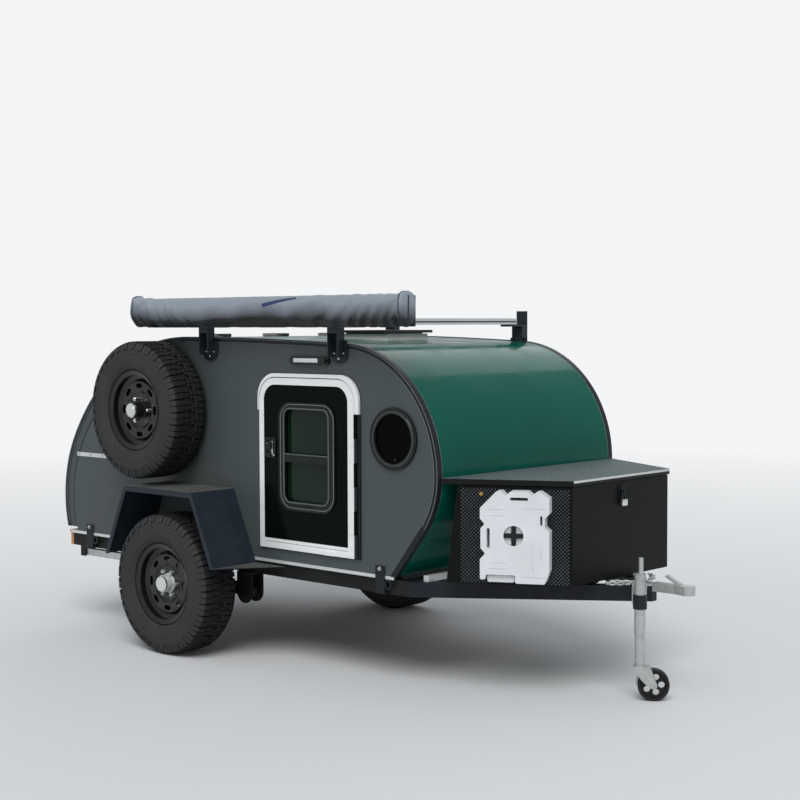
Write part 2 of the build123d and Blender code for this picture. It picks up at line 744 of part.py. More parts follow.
def make_floor_and_walls():
    """Floor and the two side walls, with the doorway and the porthole cut."""
    floor = side_plate(outline(0.0, RAIL_TOP), -HALF + STRIP_THICK, HALF - STRIP_THICK)
    slab = block(BODY_REAR, BODY_FRONT, -HALF, HALF, RAIL_TOP, BODY_BOTTOM)
    save("floor_panel", floor & slab)
    behind = zone_between(2 * BODY_REAR, HATCH_X, 0.0)
    cut_for_hatch = (outline(0.0) - outline(HATCH_CHEEK + HATCH_GAP)) & behind
    hole = Pos(PORTHOLE_X, PORTHOLE_Z) * Circle(PORTHOLE_R - PORTHOLE_RING)
    wall_face = outline(0.0) - cut_for_hatch - door_opening(DOOR_GAP + LINING) - hole
    save_pair("side_wall", side_plate(wall_face, -HALF, -WALL_INNER))


def hinge_z():
    """Height of the hatch hinge's pin."""
    return roof_height(HATCH_X) + HATCH_KNUCKLE_R


def hatch_barrel(y0, y1, radius):
    """A round piece on the hatch hinge's line."""
    return rod((HATCH_X, y0, hinge_z()), (HATCH_X, y1, hinge_z()), radius)


def make_skin():
    """Roof and front skin with its half of the hatch hinges, and the trim along the edges."""
    ahead = zone_between(HATCH_X + HATCH_GAP, 2 * BODY_FRONT)
    skin = side_plate(shell_band(0.0, SKIN, ahead), -WALL_INNER, WALL_INNER)
    top_z = roof_height(HATCH_X)
    for y0 in HATCH_KNUCKLES:
        y1 = y0 + HATCH_KNUCKLE_LENGTH
        skin += block(HATCH_X, HATCH_X + HATCH_LEAF, y0, y1, top_z - 2.0, top_z + 3.0)
        skin += hatch_barrel(y0, y1, HATCH_KNUCKLE_R)
        skin += hatch_barrel(y0, y1 + HATCH_KNUCKLE_LENGTH + 2 * HINGE_SLIT, HINGE_PIN_R)
    save("roof_skin", skin)
    save("edge_trim", both(trim_of(ahead)))


def trim_of(zone):
    """Right edge trim: a flat band on the wall and a cap over the edge of the skin."""
    band = side_plate(shell_band(-TRIM_THICK, TRIM_WIDTH, zone), -HALF - TRIM_THICK, -HALF)
    return band + side_plate(shell_band(-TRIM_THICK, 0.0, zone), -HALF, -HALF + TRIM_WIDTH)


def make_hatch():
    """Hatch: a curved skin with two cheeks, its hinge barrels, trim and handle."""
    zone = zone_between(2 * BODY_REAR, HATCH_X, HATCH_BOTTOM)
    shell = side_plate(shell_band(0.0, HATCH_SKIN, zone), -HALF, HALF)
    cheek = shell_band(0.0, HATCH_CHEEK, zone)
    for y0 in (-HALF, HALF - HATCH_SKIN):
        shell += side_plate(cheek, y0, y0 + HATCH_SKIN)
    top_z = roof_height(HATCH_X)
    for knuckle in HATCH_KNUCKLES:
        y0 = knuckle + HATCH_KNUCKLE_LENGTH + HINGE_SLIT
        y1 = y0 + HATCH_KNUCKLE_LENGTH
        shell += block(HATCH_X - HATCH_LEAF, HATCH_X, y0, y1, top_z - 4.0, top_z + 3.0)
        shell += hatch_barrel(y0, y1, HATCH_KNUCKLE_R)
        shell -= hatch_barrel(y0 - 1.0, y1 + 1.0, HINGE_PIN_R + PIN_FIT)
    save("hatch_shell", shell)
    save("hatch_trim", both(trim_of(zone)))
    z = REAR_B[1]
    half_w = HATCH_HANDLE_WIDTH / 2
    plate_face = RectangleRounded(HATCH_HANDLE_WIDTH, HATCH_HANDLE_HEIGHT, 10.0)
    back = Plane(origin=(BODY_REAR, 0, z), x_dir=(0, -1, 0), z_dir=(-1, 0, 0))
    handle = extrude(back * plate_face, amount=HATCH_HANDLE_PLATE)
    grip_x = BODY_REAR - HATCH_HANDLE_OUT + HATCH_GRIP_R
    post_y = half_w - 2 * HATCH_GRIP_R
    for y in (-post_y, post_y):
        handle += rod((BODY_REAR - HATCH_HANDLE_PLATE + 1.0, y, z), (grip_x, y, z), HATCH_GRIP_R - 1.0)
    handle += rod((grip_x, -half_w, z), (grip_x, half_w, z), HATCH_GRIP_R)
    save("hatch_handle", handle)


def make_galley():
    """Stepped bulkhead, worktop and its uprights."""
    head_x = HATCH_X - BULKHEAD_SETBACK
    foot_x = BULKHEAD_FOOT_X
    steps = [
        (foot_x, BODY_BOTTOM), (foot_x + BOARD, BODY_BOTTOM), (foot_x + BOARD, SHELF_Z - BOARD),
        (head_x + BOARD, SHELF_Z - BOARD), (head_x + BOARD, ROOF_Z), (head_x, ROOF_Z),
        (head_x, SHELF_Z), (foot_x, SHELF_Z)]
    face = polygon(steps) & outline(HATCH_CHEEK, BODY_BOTTOM)
    galley = side_plate(face, -WALL_INNER, WALL_INNER)
    reach = BODY_REAR + HATCH_CHEEK + HATCH_GAP + COUNTER_SETBACK
    galley += block(reach, foot_x, -WALL_INNER, WALL_INNER, COUNTER_Z - BOARD, COUNTER_Z)
    for y0 in (-WALL_INNER, -DIVIDER_HALF, DIVIDER_HALF - BOARD, WALL_INNER - BOARD):
        galley += block(reach + COUNTER_OVERHANG, foot_x, y0, y0 + BOARD, BODY_BOTTOM, COUNTER_Z - BOARD)
    save("galley", galley)


def make_strips():
    """Sill strips along both sides and the short seam strips behind the wheels."""
    sill = block(BODY_REAR + SILL_INSET, CHIN_C[0] + CHIN_R / 3, -HALF, -HALF + STRIP_THICK,
                 RAIL_TOP, BODY_BOTTOM)
    seam_x = BODY_REAR + HATCH_CHEEK + HATCH_GAP + SEAM_INSET
    seam = block(seam_x, seam_x + SEAM_LENGTH, -HALF - STRIP_THICK, -HALF,
                 SEAM_Z - SEAM_HEIGHT / 2, SEAM_Z + SEAM_HEIGHT / 2)
    save("sill_strips", both(solids_of(sill, seam)))


# Doors, one on each side
def leaf_outline():
    """The outer edge of the door leaf, which laps over the jamb."""
    return arched(LEAF_REAR, LEAF_FRONT, LEAF_BOTTOM, LEAF_TOP, LEAF_CORNER)


def hinge_segments():
    """Rows of foot and head height: even rows belong to the jamb, odd ones to the leaf."""
    pitch = (GUTTER_END_Z - LEAF_BOTTOM) / HINGE_SEGMENTS
    feet = [LEAF_BOTTOM + pitch * i for i in range(HINGE_SEGMENTS)]
    return [(foot, foot + pitch - HINGE_SLIT) for foot in feet]


def hinge_barrel(z0, z1, radius):
    """A round piece on the right door's hinge line."""
    return rod((HINGE_X, -HINGE_Y, z0), (HINGE_X, -HINGE_Y, z1), radius)


def door_jamb():
    """Jamb flange and lining, the bright gutter over the door, and the jamb's half of the hinge."""
    clear = door_opening(DOOR_GAP)
    flange = arched(FLANGE_REAR, FLANGE_FRONT, FLANGE_BOTTOM, FLANGE_TOP, FLANGE_CORNER)
    jamb = side_plate(flange - clear, -HALF - FLANGE_THICK, -HALF)
    jamb += side_plate(door_opening(DOOR_GAP + LINING) - clear, -HALF, -WALL_INNER)
    room = arched(LEAF_REAR - GUTTER_CLEAR, LEAF_FRONT + GUTTER_CLEAR, LEAF_BOTTOM,
                  LEAF_TOP + GUTTER_CLEAR, LEAF_CORNER + GUTTER_CLEAR)
    upper = zone_between(FLANGE_REAR, FLANGE_FRONT, GUTTER_END_Z)
    jamb += side_plate((flange - room) & upper, -HALF - GUTTER_OUT, -HALF)
    strip_out = -HALF - FLANGE_THICK - HINGE_STRIP
    strip_x = HINGE_X - KNUCKLE_R
    jamb += block(strip_x, FLANGE_FRONT, strip_out, -HALF, LEAF_BOTTOM, GUTTER_END_Z + 1.0)
    for foot, head in hinge_segments()[0::2]:
        jamb += hinge_barrel(foot, head, KNUCKLE_R)
        jamb += block(HINGE_X, HINGE_X + 2 * KNUCKLE_R, -HINGE_Y, strip_out + 1.0, foot, head)
    jamb += hinge_barrel(LEAF_BOTTOM, GUTTER_END_Z - HINGE_SLIT, HINGE_PIN_R)
    return jamb


def door_panes():
    """The window opening in the door."""
    return rounded(WINDOW_REAR + WINDOW_RIM, WINDOW_FRONT - WINDOW_RIM, WINDOW_BOTTOM + WINDOW_RIM,
                   WINDOW_TOP - WINDOW_RIM_TOP, PANE_CORNER)


def door_leaf():
    """Leaf: a core in the doorway, a lapping edge frame, a sunk panel, and its half of the hinge."""
    panes = door_panes()
    panel = arched(LEAF_REAR + RIM_REAR, LEAF_FRONT - RIM_FRONT, LEAF_BOTTOM + RIM_BOTTOM,
                   LEAF_TOP - RIM_TOP, LEAF_CORNER - RIM_REAR)
    lap_in = LEAF_OUT + LEAF_LAP
    leaf = side_plate(leaf_outline() - panes, PANEL_OUT, lap_in)
    leaf += side_plate(leaf_outline() - panel, LEAF_OUT, PANEL_OUT)
    leaf += side_plate(door_opening(0.0) - panes, lap_in, PANEL_OUT + DOOR_CORE)
    for foot, head in hinge_segments()[1::2]:
        leaf += block(LEAF_FRONT - RIM_FRONT / 2, HINGE_X, -HINGE_Y, LEAF_OUT, foot, head)
        leaf += hinge_barrel(foot, head, KNUCKLE_R)
        leaf -= hinge_barrel(foot - HINGE_SLIT, head + HINGE_SLIT, HINGE_PIN_R + PIN_FIT)
    leaf += block(LATCH_X - LATCH_WIDTH / 2, LATCH_X + LATCH_WIDTH / 2, LEAF_OUT - LATCH_OUT, LEAF_OUT,
                  LEAF_BOTTOM, LEAF_BOTTOM + LATCH_HEIGHT)
    return leaf


def door_window():
    """Moulded window frame with its middle bar."""
    rim = rounded(WINDOW_REAR, WINDOW_FRONT, WINDOW_BOTTOM, WINDOW_TOP, WINDOW_CORNER) - door_panes()
    middle = Pos((WINDOW_REAR + WINDOW_FRONT) / 2, WINDOW_BAR_Z)
    bar = middle * Rectangle(WINDOW_FRONT - WINDOW_REAR - 2 * WINDOW_RIM, WINDOW_BAR)
    return side_plate(rim + bar, PANEL_OUT - WINDOW_PROUD, PANEL_OUT)


def door_handle():
    """Handle plate with a finger pocket, a paddle across it, and a key barrel."""
    x = LEAF_REAR + RIM_REAR + HANDLE_INSET
    half_w = HANDLE_WIDTH / 2
    half_h = HANDLE_HEIGHT / 2
    face = rounded(x - half_w, x + half_w, HANDLE_Z - half_h, HANDLE_Z + half_h, HANDLE_CORNER)
    handle = side_plate(face, PANEL_OUT - HANDLE_PLATE, PANEL_OUT)
    outer_y = PANEL_OUT - HANDLE_PLATE
    inset = HANDLE_CORNER
    pocket = rounded(x - half_w + inset, x + half_w - inset, HANDLE_Z - half_h + 2 * inset,
                     HANDLE_Z + half_h - inset, HANDLE_CORNER / 2)
    handle -= side_plate(pocket, outer_y - 1.0, outer_y + POCKET_DEPTH)
    side = polygon([
        (outer_y + POCKET_DEPTH, HANDLE_Z + half_h - inset), (outer_y - HANDLE_GRIP, HANDLE_Z + half_h / 3),
        (outer_y - HANDLE_GRIP, HANDLE_Z - half_h / 6), (outer_y - HANDLE_GRIP / 2, HANDLE_Z - half_h / 6),
        (outer_y + POCKET_DEPTH, HANDLE_Z + half_h / 6)])
    paddle_half = half_w - 2 * inset
    handle += extrude(Plane.YZ.offset(x - paddle_half) * side, amount=2 * paddle_half)
    key_z = HANDLE_Z - half_h + inset
    handle += rod((x, outer_y + 1.0, key_z), (x, outer_y - HANDLE_GRIP / 3, key_z), inset * 0.7)
    return handle


def make_doors():
    """Jambs, leaves, windows, glass and handles."""
    glass_y = PANEL_OUT + DOOR_CORE / 2
    pieces = {
        "door_frame": door_jamb(),
        "door_leaf": door_leaf(),
        "window_frame": door_window(),
        "window_glass": side_plate(door_panes(), glass_y, glass_y + GLASS),
        "door_handle": door_handle(),
    }
    for name, shape in pieces.items():
        save_pair(name, shape)


def make_portholes():
    """Round windows ahead of the doors, and the oval porch lights above them."""
    place = Pos(PORTHOLE_X, PORTHOLE_Z)
    bore = PORTHOLE_R - PORTHOLE_RING
    ring = side_plate(place * (Circle(PORTHOLE_R) - Circle(bore)), -HALF - PORTHOLE_PROUD, -HALF)
    collar = place * (Circle(bore) - Circle(bore - PORTHOLE_COLLAR))
    save("porthole_rings", both(ring + side_plate(collar, -HALF - PORTHOLE_PROUD, -WALL_INNER)))
    pane = side_plate(place * Circle(bore - PORTHOLE_COLLAR), -HALF, -HALF + GLASS)
    save("porthole_glass", both(pane))
    oval = Pos(LIGHT_X, LIGHT_Z) * SlotOverall(LIGHT_LENGTH, LIGHT_HEIGHT)
    lens = Pos(LIGHT_X, LIGHT_Z) * SlotOverall(LIGHT_LENGTH - 2 * LIGHT_MARGIN, LIGHT_HEIGHT - LIGHT_MARGIN)
    light = side_plate(oval, -HALF - LIGHT_BASE, -HALF)
    light += side_plate(lens, -HALF - LIGHT_DEPTH, -HALF - LIGHT_BASE)
    save("porch_lights", both(light))


# Wheels
def revolve_y(points, y_mid):
    """Revolve points given as radius and y about the Y axis."""
    return revolve(polygon([(r, y + y_mid) for r, y in points]), Axis.Y, 360.0)


def tyre_solid(y_mid):
    """A tyre about an axis along Y, centred on the axle, before it is placed."""
    half = TYRE_WIDTH / 2
    tread = TREAD_WIDTH / 2
    seat = RIM_WIDTH / 2 - 2 * RIM_WALL
    points = [
        (RIM_SEAT_R + 2.0, -seat), (RIM_LIP_R + 10.0, -seat - 5.0),
        ((RIM_LIP_R + TYRE_R) / 2, -half), (TYRE_R - 34.0, -half + 7.0), (TYRE_R, -tread + 6.0)]
    return revolve_y(points + [(r, -y) for r, y in reversed(points)], y_mid)


def turned_copies(tool, count):
    """Copies of a cutting tool, turned evenly about the Y axis."""
    return [Rot(0, 360.0 / count * i, 0) * tool for i in range(count)]


def rim_solid(y_mid, outward):
    """A steel rim and disc; outward is the side that shows the disc, -1 or 1."""
    half = RIM_WIDTH / 2
    well = RIM_SEAT_R - WELL_DEPTH
    outer = [
        (RIM_LIP_R, half), (RIM_LIP_R, half - RIM_WALL), (RIM_SEAT_R, half - 2 * RIM_WALL),
        (RIM_SEAT_R, half - 46.0), (well, half - 60.0)]
    inner = [
        (well - RIM_WALL, half - 58.0), (RIM_SEAT_R - RIM_WALL, half - 44.0),
        (RIM_SEAT_R - RIM_WALL, half - 10.0)]
    barrel = outer + [(r, -y) for r, y in reversed(outer)]
    barrel += [(r, -y) for r, y in reversed(inner)] + inner
    wheel = revolve_y(barrel, y_mid)
    face = outward * (half - DISC_INSET)
    front = [
        (DISC_BORE, face), (DISC_SEAT_R, face), (DISC_RING_R, face + outward * DISC_RAISE),
        (DISC_EDGE_R, face + outward * DISC_RAISE), (well - 2.0, face - outward * DISC_THICK)]
    back = [(r, y - outward * DISC_THICK) for r, y in reversed(front)]
    plate = revolve_y(front + back, y_mid)
    reach = Plane.XZ.offset(-y_mid - half)
    slot_r = (DISC_RING_R + DISC_EDGE_R) / 2
    window = extrude(reach * Pos(0, slot_r) * SlotOverall(WINDOW_LENGTH, WINDOW_HEIGHT), amount=RIM_WIDTH)
    bolt = extrude(reach * Pos(LUG_PCD / 2, 0) * Circle(STUD_R + 1.0), amount=RIM_WIDTH)
    for tool in turned_copies(window, WINDOW_COUNT) + turned_copies(bolt, LUG_COUNT):
        plate -= tool
    return wheel + plate


def stud_and_nut(x, z, y_root, y_seat, outward):
    """A stud through the disc with its nut."""
    stud = rod((x, y_root, z), (x, y_seat + outward * 2 * NUT_R, z), STUD_R)
    return stud + rod((x, y_seat, z), (x, y_seat + outward * 1.5 * NUT_R, z), NUT_R)


def hub_solid(y_mid, outward):
    """Hub, brake drum, studs, nuts and cap; outward is the side of the cap."""
    seat = outward * (RIM_WIDTH / 2 - DISC_INSET)
    drum_face = seat - outward * DISC_THICK
    drum_in = drum_face - outward * DRUM_WALL
    drum_back = drum_face - outward * DRUM_DEPTH
    end = drum_face - outward * HUB_LENGTH
    bore = SPINDLE_R + HUB_FIT
    profile = [
        (bore, end), (HUB_BARREL_R, end), (HUB_BARREL_R, drum_in), (DRUM_R - DRUM_WALL, drum_in),
        (DRUM_R - DRUM_WALL, drum_back), (DRUM_R, drum_back), (DRUM_R, drum_face),
        (DISC_BORE - 0.5, drum_face), (DISC_BORE - 0.5, seat + outward * 4.0),
        (HUB_CAP_R, seat + outward * 4.0), (HUB_CAP_R - 1.0, seat + outward * (HUB_CAP_OUT - 8.0)),
        (HUB_CAP_R - 8.0, seat + outward * HUB_CAP_OUT), (0.0, seat + outward * HUB_CAP_OUT),
        (0.0, seat + outward * (HUB_CAP_OUT - 5.0)), (bore, seat + outward * (HUB_CAP_OUT - 5.0))]
    hub = revolve_y(profile, y_mid)
    for i in range(LUG_COUNT):
        angle = 2 * math.pi / LUG_COUNT * i
        x = LUG_PCD / 2 * math.cos(angle)
        z = -LUG_PCD / 2 * math.sin(angle)
        hub += stud_and_nut(x, z, y_mid + drum_in, y_mid + seat, outward)
    return hub


def spare_carrier(disc_y):
    """Plate on the wall, a post, a flange behind the spare's disc, and its threaded spindle."""
    half = SPARE_PLATE / 2
    mount = block(SPARE_X - half, SPARE_X + half, -HALF - SPARE_PLATE_THICK, -HALF,
                  SPARE_Z - half, SPARE_Z + half)
    back_y = disc_y + DISC_THICK

    def on_axis(y0, y1, radius):
        return rod((SPARE_X, y0, SPARE_Z), (SPARE_X, y1, SPARE_Z), radius)

    mount += on_axis(-HALF - SPARE_PLATE_THICK, back_y + 1.0, SPARE_POST_R)
    mount += on_axis(back_y + SPARE_PLATE_THICK, back_y, DISC_SEAT_R - SPARE_PLATE_THICK)
    mount += on_axis(back_y, disc_y - SPARE_SPINDLE_OUT, SPARE_SPINDLE_R)
    mount += on_axis(disc_y - SPARE_SPINDLE_OUT, disc_y - SPARE_SPINDLE_OUT - SPARE_CAP, SPARE_CAP_R)
    for i in range(0, LUG_COUNT, 2):
        angle = 2 * math.pi / LUG_COUNT * i
        x = SPARE_X + LUG_PCD / 2 * math.cos(angle)
        z = SPARE_Z - LUG_PCD / 2 * math.sin(angle)
        mount += stud_and_nut(x, z, back_y, disc_y, -1)
    return mount


def make_wheels():
    """Two road wheels with hubs, and the spare with its carrier."""
    place = Pos(0, 0, TYRE_R)
    for side, sign in (("right", -1), ("left", 1)):
        save(f"tyre_{side}", place * tyre_solid(sign * WHEEL_Y))
        save(f"rim_{side}", place * rim_solid(sign * WHEEL_Y, sign))
        save(f"hub_{side}", place * hub_solid(sign * WHEEL_Y, sign))
    spare_y = -(HALF + SPARE_GAP + TYRE_WIDTH / 2)
    place = Pos(SPARE_X, 0, SPARE_Z)
    save("spare_tyre", place * tyre_solid(spare_y))
    save("spare_rim", place * rim_solid(spare_y, -1))
    save("spare_mount", spare_carrier(spare_y - RIM_WIDTH / 2 + DISC_INSET))


# Suspension
def arm_top_z(x):
    """Height of the trailing arm's sloping top between the axle and the pivot."""
    low = PIVOT_Z + ARM_BOX_HEIGHT / 2 - 8.0
    high = TYRE_R + ARM_BOX_HEIGHT / 2 - 16.0
    front = PIVOT_X - 20.0
    rear = -40.0
    return high + (low - high) * (x - rear) / (front - rear)


def make_suspension():
    """Trailing arms with stub axles and brake backing plates, and the rubber springs."""
    arm_y = RAIL_HALF - RAIL_WIDTH / 2
    half = ARM_BOX_WIDTH / 2
    front = PIVOT_X - 20.0
    rear = -40.0

    def across(x, z, y0, y1, radius):
        return rod((x, -arm_y + y0, z), (x, -arm_y + y1, z), radius)

    arm = side_plate(polygon([
        (front, arm_top_z(front)), (front, PIVOT_Z - ARM_BOX_HEIGHT / 2 + 8.0),
        (rear, TYRE_R - ARM_BOX_HEIGHT / 2), (rear, arm_top_z(rear))]), -arm_y - half, -arm_y + half)
    arm -= across(PIVOT_X, PIVOT_Z, -half - 1.0, half + 1.0, ARM_EYE_R - 1.0)
    arm += tube((PIVOT_X, -arm_y - half, PIVOT_Z), (PIVOT_X, -arm_y + half, PIVOT_Z), ARM_EYE_R,
                ARM_EYE_R - PIVOT_PIN_R - PIVOT_BUSH)
    hub_end = WHEEL_Y + RIM_WIDTH / 2 - DISC_INSET - DISC_THICK - HUB_LENGTH
    plate_y = hub_end - BACKPLATE_GAP - HANGER_PLATE
    stub = rod((0, -arm_y, TYRE_R), (0, -plate_y, TYRE_R), SPINDLE_R + HANGER_PLATE)
    stub += rod((0, -plate_y, TYRE_R), (0, -plate_y - HANGER_PLATE, TYRE_R), DRUM_R)
    spindle_end = WHEEL_Y + RIM_WIDTH / 2 - DISC_INSET + HUB_CAP_OUT - SPINDLE_SHORT
    stub += rod((0, -plate_y, TYRE_R), (0, -spindle_end, TYRE_R), SPINDLE_R)
    save("trailing_arms", both(arm + stub))
    foot = arm_top_z(SPRING_X + SPRING_R)
    middle = (foot + RAIL_BOTTOM) / 2
    waist = SPRING_R - SPRING_WAIST
    profile = polygon([
        (0, foot), (waist, foot), (SPRING_R, middle), (waist, RAIL_BOTTOM), (0, RAIL_BOTTOM)])
    spring = Pos(SPRING_X, -arm_y, 0) * revolve(Plane.XZ * profile, Axis.Z, 360.0)
    save("rubber_springs", both(spring - arm))


def fender_line(inset):
    """The fender's side line from the rear foot over the top to the front foot, moved inwards."""
    top_z = FENDER_TOP - inset
    half_top = FENDER_HALF_TOP - inset / 2
    half_foot = FENDER_HALF_FOOT - inset
    return [(-half_foot, FENDER_FOOT), (-half_top, top_z), (half_top, top_z), (half_foot, FENDER_FOOT)]


def make_fenders():
    """Flat-topped plate fenders with lipped edges and a triangular step ahead of them."""
    def band(inset):
        return polygon(fender_line(0.0) + fender_line(inset)[::-1])

    fender = side_plate(band(FENDER_THICK), -FENDER_Y, -HALF)
    fender += side_plate(band(FENDER_LIP), -FENDER_Y, -FENDER_Y + FENDER_THICK)
    step_top = BODY_BOTTOM - STEP_DROP
    slope = FENDER_RUN / (FENDER_TOP - FENDER_FOOT)
    foot_x = FENDER_HALF_FOOT - slope * (step_top - FENDER_FOOT)
    step = plan_plate([(foot_x - 2.0, -HALF), (foot_x - 2.0, -FENDER_Y), (foot_x + STEP_LENGTH, -HALF)],
                      step_top - FENDER_THICK, step_top)
    hole_y = -HALF - STEP_HOLE_OUT
    for i in range(STEP_HOLE_COUNT):
        hole_x = foot_x + STEP_HOLE_PITCH * (i + 1)
        step -= rod((hole_x, hole_y, 0), (hole_x, hole_y, ROOF_Z), STEP_HOLE_R)
    save_pair("fender", fender + step)


# Tongue
def box_half(x):
    """Half width of the lid's outside at a station."""
    return BOX_REAR_HALF - (x - BOX_REAR_X) * BOX_TAPER


def box_plan(x0, x1, inset):
    """Plan of the tapered box between two stations, moved inwards at its sides."""
    return [(x0, -box_half(x0) + inset), (x1, -box_half(x1) + inset),
            (x1, box_half(x1) - inset), (x0, box_half(x0) - inset)]


def box_hollow(front, wall, bottom, inset):
    """The tapered solid inside a wall, with the back leaning as the box's does."""
    foot = BOX_BACK_FOOT_X + wall
    head = BOX_BACK_TOP_X + wall
    profile = polygon([(foot, bottom), (front, bottom), (front, BOX_TOP + wall), (head, BOX_TOP + wall)])
    plan = plan_plate(box_plan(BOX_BACK_FOOT_X, front, inset), bottom, BOX_TOP + wall)
    return plan & side_plate(profile, -BODY_WIDTH, BODY_WIDTH)


def lid_barrel(y0, y1, radius):
    """A round piece on the lid's hinge line."""
    return rod((LID_AXIS_X, y0, LID_AXIS_Z), (LID_AXIS_X, y1, LID_AXIS_Z), radius)


def make_toolbox():
    """Tapered toolbox on four feet, and its lid on two hinges."""
    front = BOX_FRONT_X - LID_THICK - LID_GAP
    thin = BOX_WALL / math.cos(BOX_TURN)
    box = box_hollow(front, 0.0, BOX_BOTTOM, LID_OVERLAP)
    box -= box_hollow(front - BOX_WALL, BOX_WALL, BOX_BOTTOM + BOX_WALL, LID_OVERLAP + thin)
    stations = (BOX_BACK_FOOT_X + BOX_FOOT_MARGIN, front - BOX_FOOT - 2 * BOX_FOOT_MARGIN)
    for x in stations:
        y = arm_outer_y(x + BOX_FOOT) - BOX_FOOT / 2
        foot = block(x, x + BOX_FOOT, -y, -y + BOX_FOOT, RAIL_TOP, BOX_BOTTOM)
        box += foot
        box += mirror(foot, Plane.XZ)
    lid = plan_plate(box_plan(BOX_REAR_X, BOX_FRONT_X, 0.0), LID_TOP - LID_LIP, LID_TOP)
    hollow = box_plan(BOX_REAR_X - 1.0, BOX_FRONT_X - LID_THICK, LID_THICK / math.cos(BOX_TURN))
    lid -= plan_plate(hollow, LID_TOP - LID_LIP - 1.0, LID_TOP - LID_THICK)
    flat = BOX_WALL / 2
    for side in (-1, 1):
        mid = side * LID_HINGE_Y
        box_y = sorted((mid, mid + side * LID_KNUCKLE))
        lid_y = sorted((mid - side * LID_KNUCKLE_GAP, mid - side * (LID_KNUCKLE_GAP + LID_KNUCKLE)))
        pin = sorted((mid + side * LID_KNUCKLE / 2, lid_y[0 if side > 0 else 1]))
        box += lid_barrel(*box_y, LID_KNUCKLE_R) + lid_barrel(*pin, LID_PIN_R)
        box += block(LID_AXIS_X - flat, LID_AXIS_X + flat, *box_y, BOX_TOP - 1.0, LID_AXIS_Z)
        lid += block(LID_AXIS_X - flat, LID_AXIS_X + flat, *lid_y, LID_AXIS_Z, LID_TOP - 1.0)
        lid += lid_barrel(*lid_y, LID_KNUCKLE_R)
        lid -= lid_barrel(lid_y[0] - 1.0, lid_y[1] + 1.0, LID_PIN_R + PIN_FIT)
    save("toolbox", box)
    save("toolbox_lid", lid)


def can_face():
    """Outline of the moulded container: rows of distance along the box from its centre, and height."""
    left = -CAN_LEFT
    right = CAN_RIGHT
    low = CAN_FOOT + CAN_FOOT_STEP
    up = CAN_LEFT_STEPS
    down = CAN_RIGHT_STEPS
    over = CAN_TOP_STEPS
    points = [
        (left, low), (left, up[0]), (-CAN_NOTCH_LEFT, up[1]), (-CAN_WAIST_LEFT, up[2]),
        (-CAN_WAIST_LEFT, up[3]), (-CAN_SHOULDER_LEFT, up[4]), (left, up[5]), (left, up[6]),
        (over[0], CAN_TOP), (over[1], CAN_TOP), (over[2], CAN_TOP_NOTCHES[0]), (over[3], CAN_TOP),
        (over[4], CAN_TOP), (over[5], CAN_TOP_NOTCHES[1]), (over[6], CAN_TOP), (over[7], CAN_TOP),
        (right, down[0]), (right, down[1]), (CAN_WAIST_RIGHT, down[2]), (CAN_WAIST_RIGHT, down[3]),
        (right, down[4]), (right, down[5]), (CAN_WAIST_RIGHT, CAN_FOOT), (CAN_FOOT_NOTCH_END, CAN_FOOT),
        (CAN_FOOT_NOTCH_END, CAN_FOOT_NOTCH_Z), (-CAN_NOTCH_LEFT, CAN_FOOT_NOTCH_Z), (-CAN_NOTCH_LEFT, low)]
    face = polygon(points)
    return fillet(face.vertices(), CAN_CORNER)


def make_container():
    """Water container, its back plate on the box's side, and the cross knob that holds it."""
    turn_in = LID_OVERLAP * math.cos(BOX_TURN)
    along = (math.cos(BOX_TURN), math.sin(BOX_TURN))
    out = (math.sin(BOX_TURN), -math.cos(BOX_TURN))
    origin = (BOX_REAR_X + along[0] * CAN_ALONG - out[0] * turn_in,
              -BOX_REAR_HALF + along[1] * CAN_ALONG - out[1] * turn_in, 0.0)
    wall = Plane(origin=origin, x_dir=(along[0], along[1], 0), z_dir=(out[0], out[1], 0))

    def slab(face, start, thick):
        return extrude(wall.offset(start) * face, amount=thick)

    back = CAN_MOUNT + SEAT_GAP
    can = slab(can_face(), back, CAN_DEPTH)
    cap = RectangleRounded(CAN_CAP_WIDTH, CAN_CAP_HEIGHT, CAN_CORNER)
    can += slab(Pos(CAN_CAP_AT, CAN_FOOT + CAN_CAP_RISE) * cap, back + CAN_DEPTH / 4, CAN_DEPTH / 2)
    neck = Pos(CAN_CAP_AT, CAN_FOOT + CAN_NECK_RISE) * Rectangle(CAN_NECK_WIDTH, CAN_NECK_HEIGHT)
    can += slab(neck, back + CAN_DEPTH / 3, CAN_DEPTH / 3)
    grips = (
        (CAN_GRIP_LENGTHS[0], CAN_SLOT),
        (CAN_SLOT, CAN_GRIP_LENGTHS[1]),
        (CAN_SLOT - CAN_GRIP_THIN, CAN_GRIP_LENGTHS[2]),
    )
    for place, (width, length) in zip(CAN_GRIPS, grips):
        hole = Pos(*place) * RectangleRounded(width, length, CAN_SLOT / 3)
        can -= slab(hole, back - 1.0, CAN_DEPTH + 2.0)
    middle = Pos(0, CAN_CENTRE_Z)
    face_out = back + CAN_DEPTH
    can -= slab(middle * Circle(CAN_RECESS_R), face_out - CAN_RECESS, CAN_RECESS + 1.0)
    can -= slab(middle * Circle(CAN_POST_R + 1.0), back - 1.0, CAN_DEPTH + 2.0)
    save("water_container", can)
    mount_face = RectangleRounded(CAN_MOUNT_WIDTH, CAN_MOUNT_HEIGHT, CAN_CORNER)
    mount = slab(middle * mount_face, 0.0, CAN_MOUNT)
    mount += slab(middle * Circle(CAN_POST_R), 0.0, face_out - CAN_RECESS / 2)
    knob = RectangleRounded(CAN_KNOB, CAN_KNOB_BAR, CAN_CORNER)
    knob += Rot(0, 0, 90) * knob
    mount += slab(middle * knob, face_out - CAN_RECESS + 1.0, CAN_KNOB_THICK)
    save("container_mount", mount)


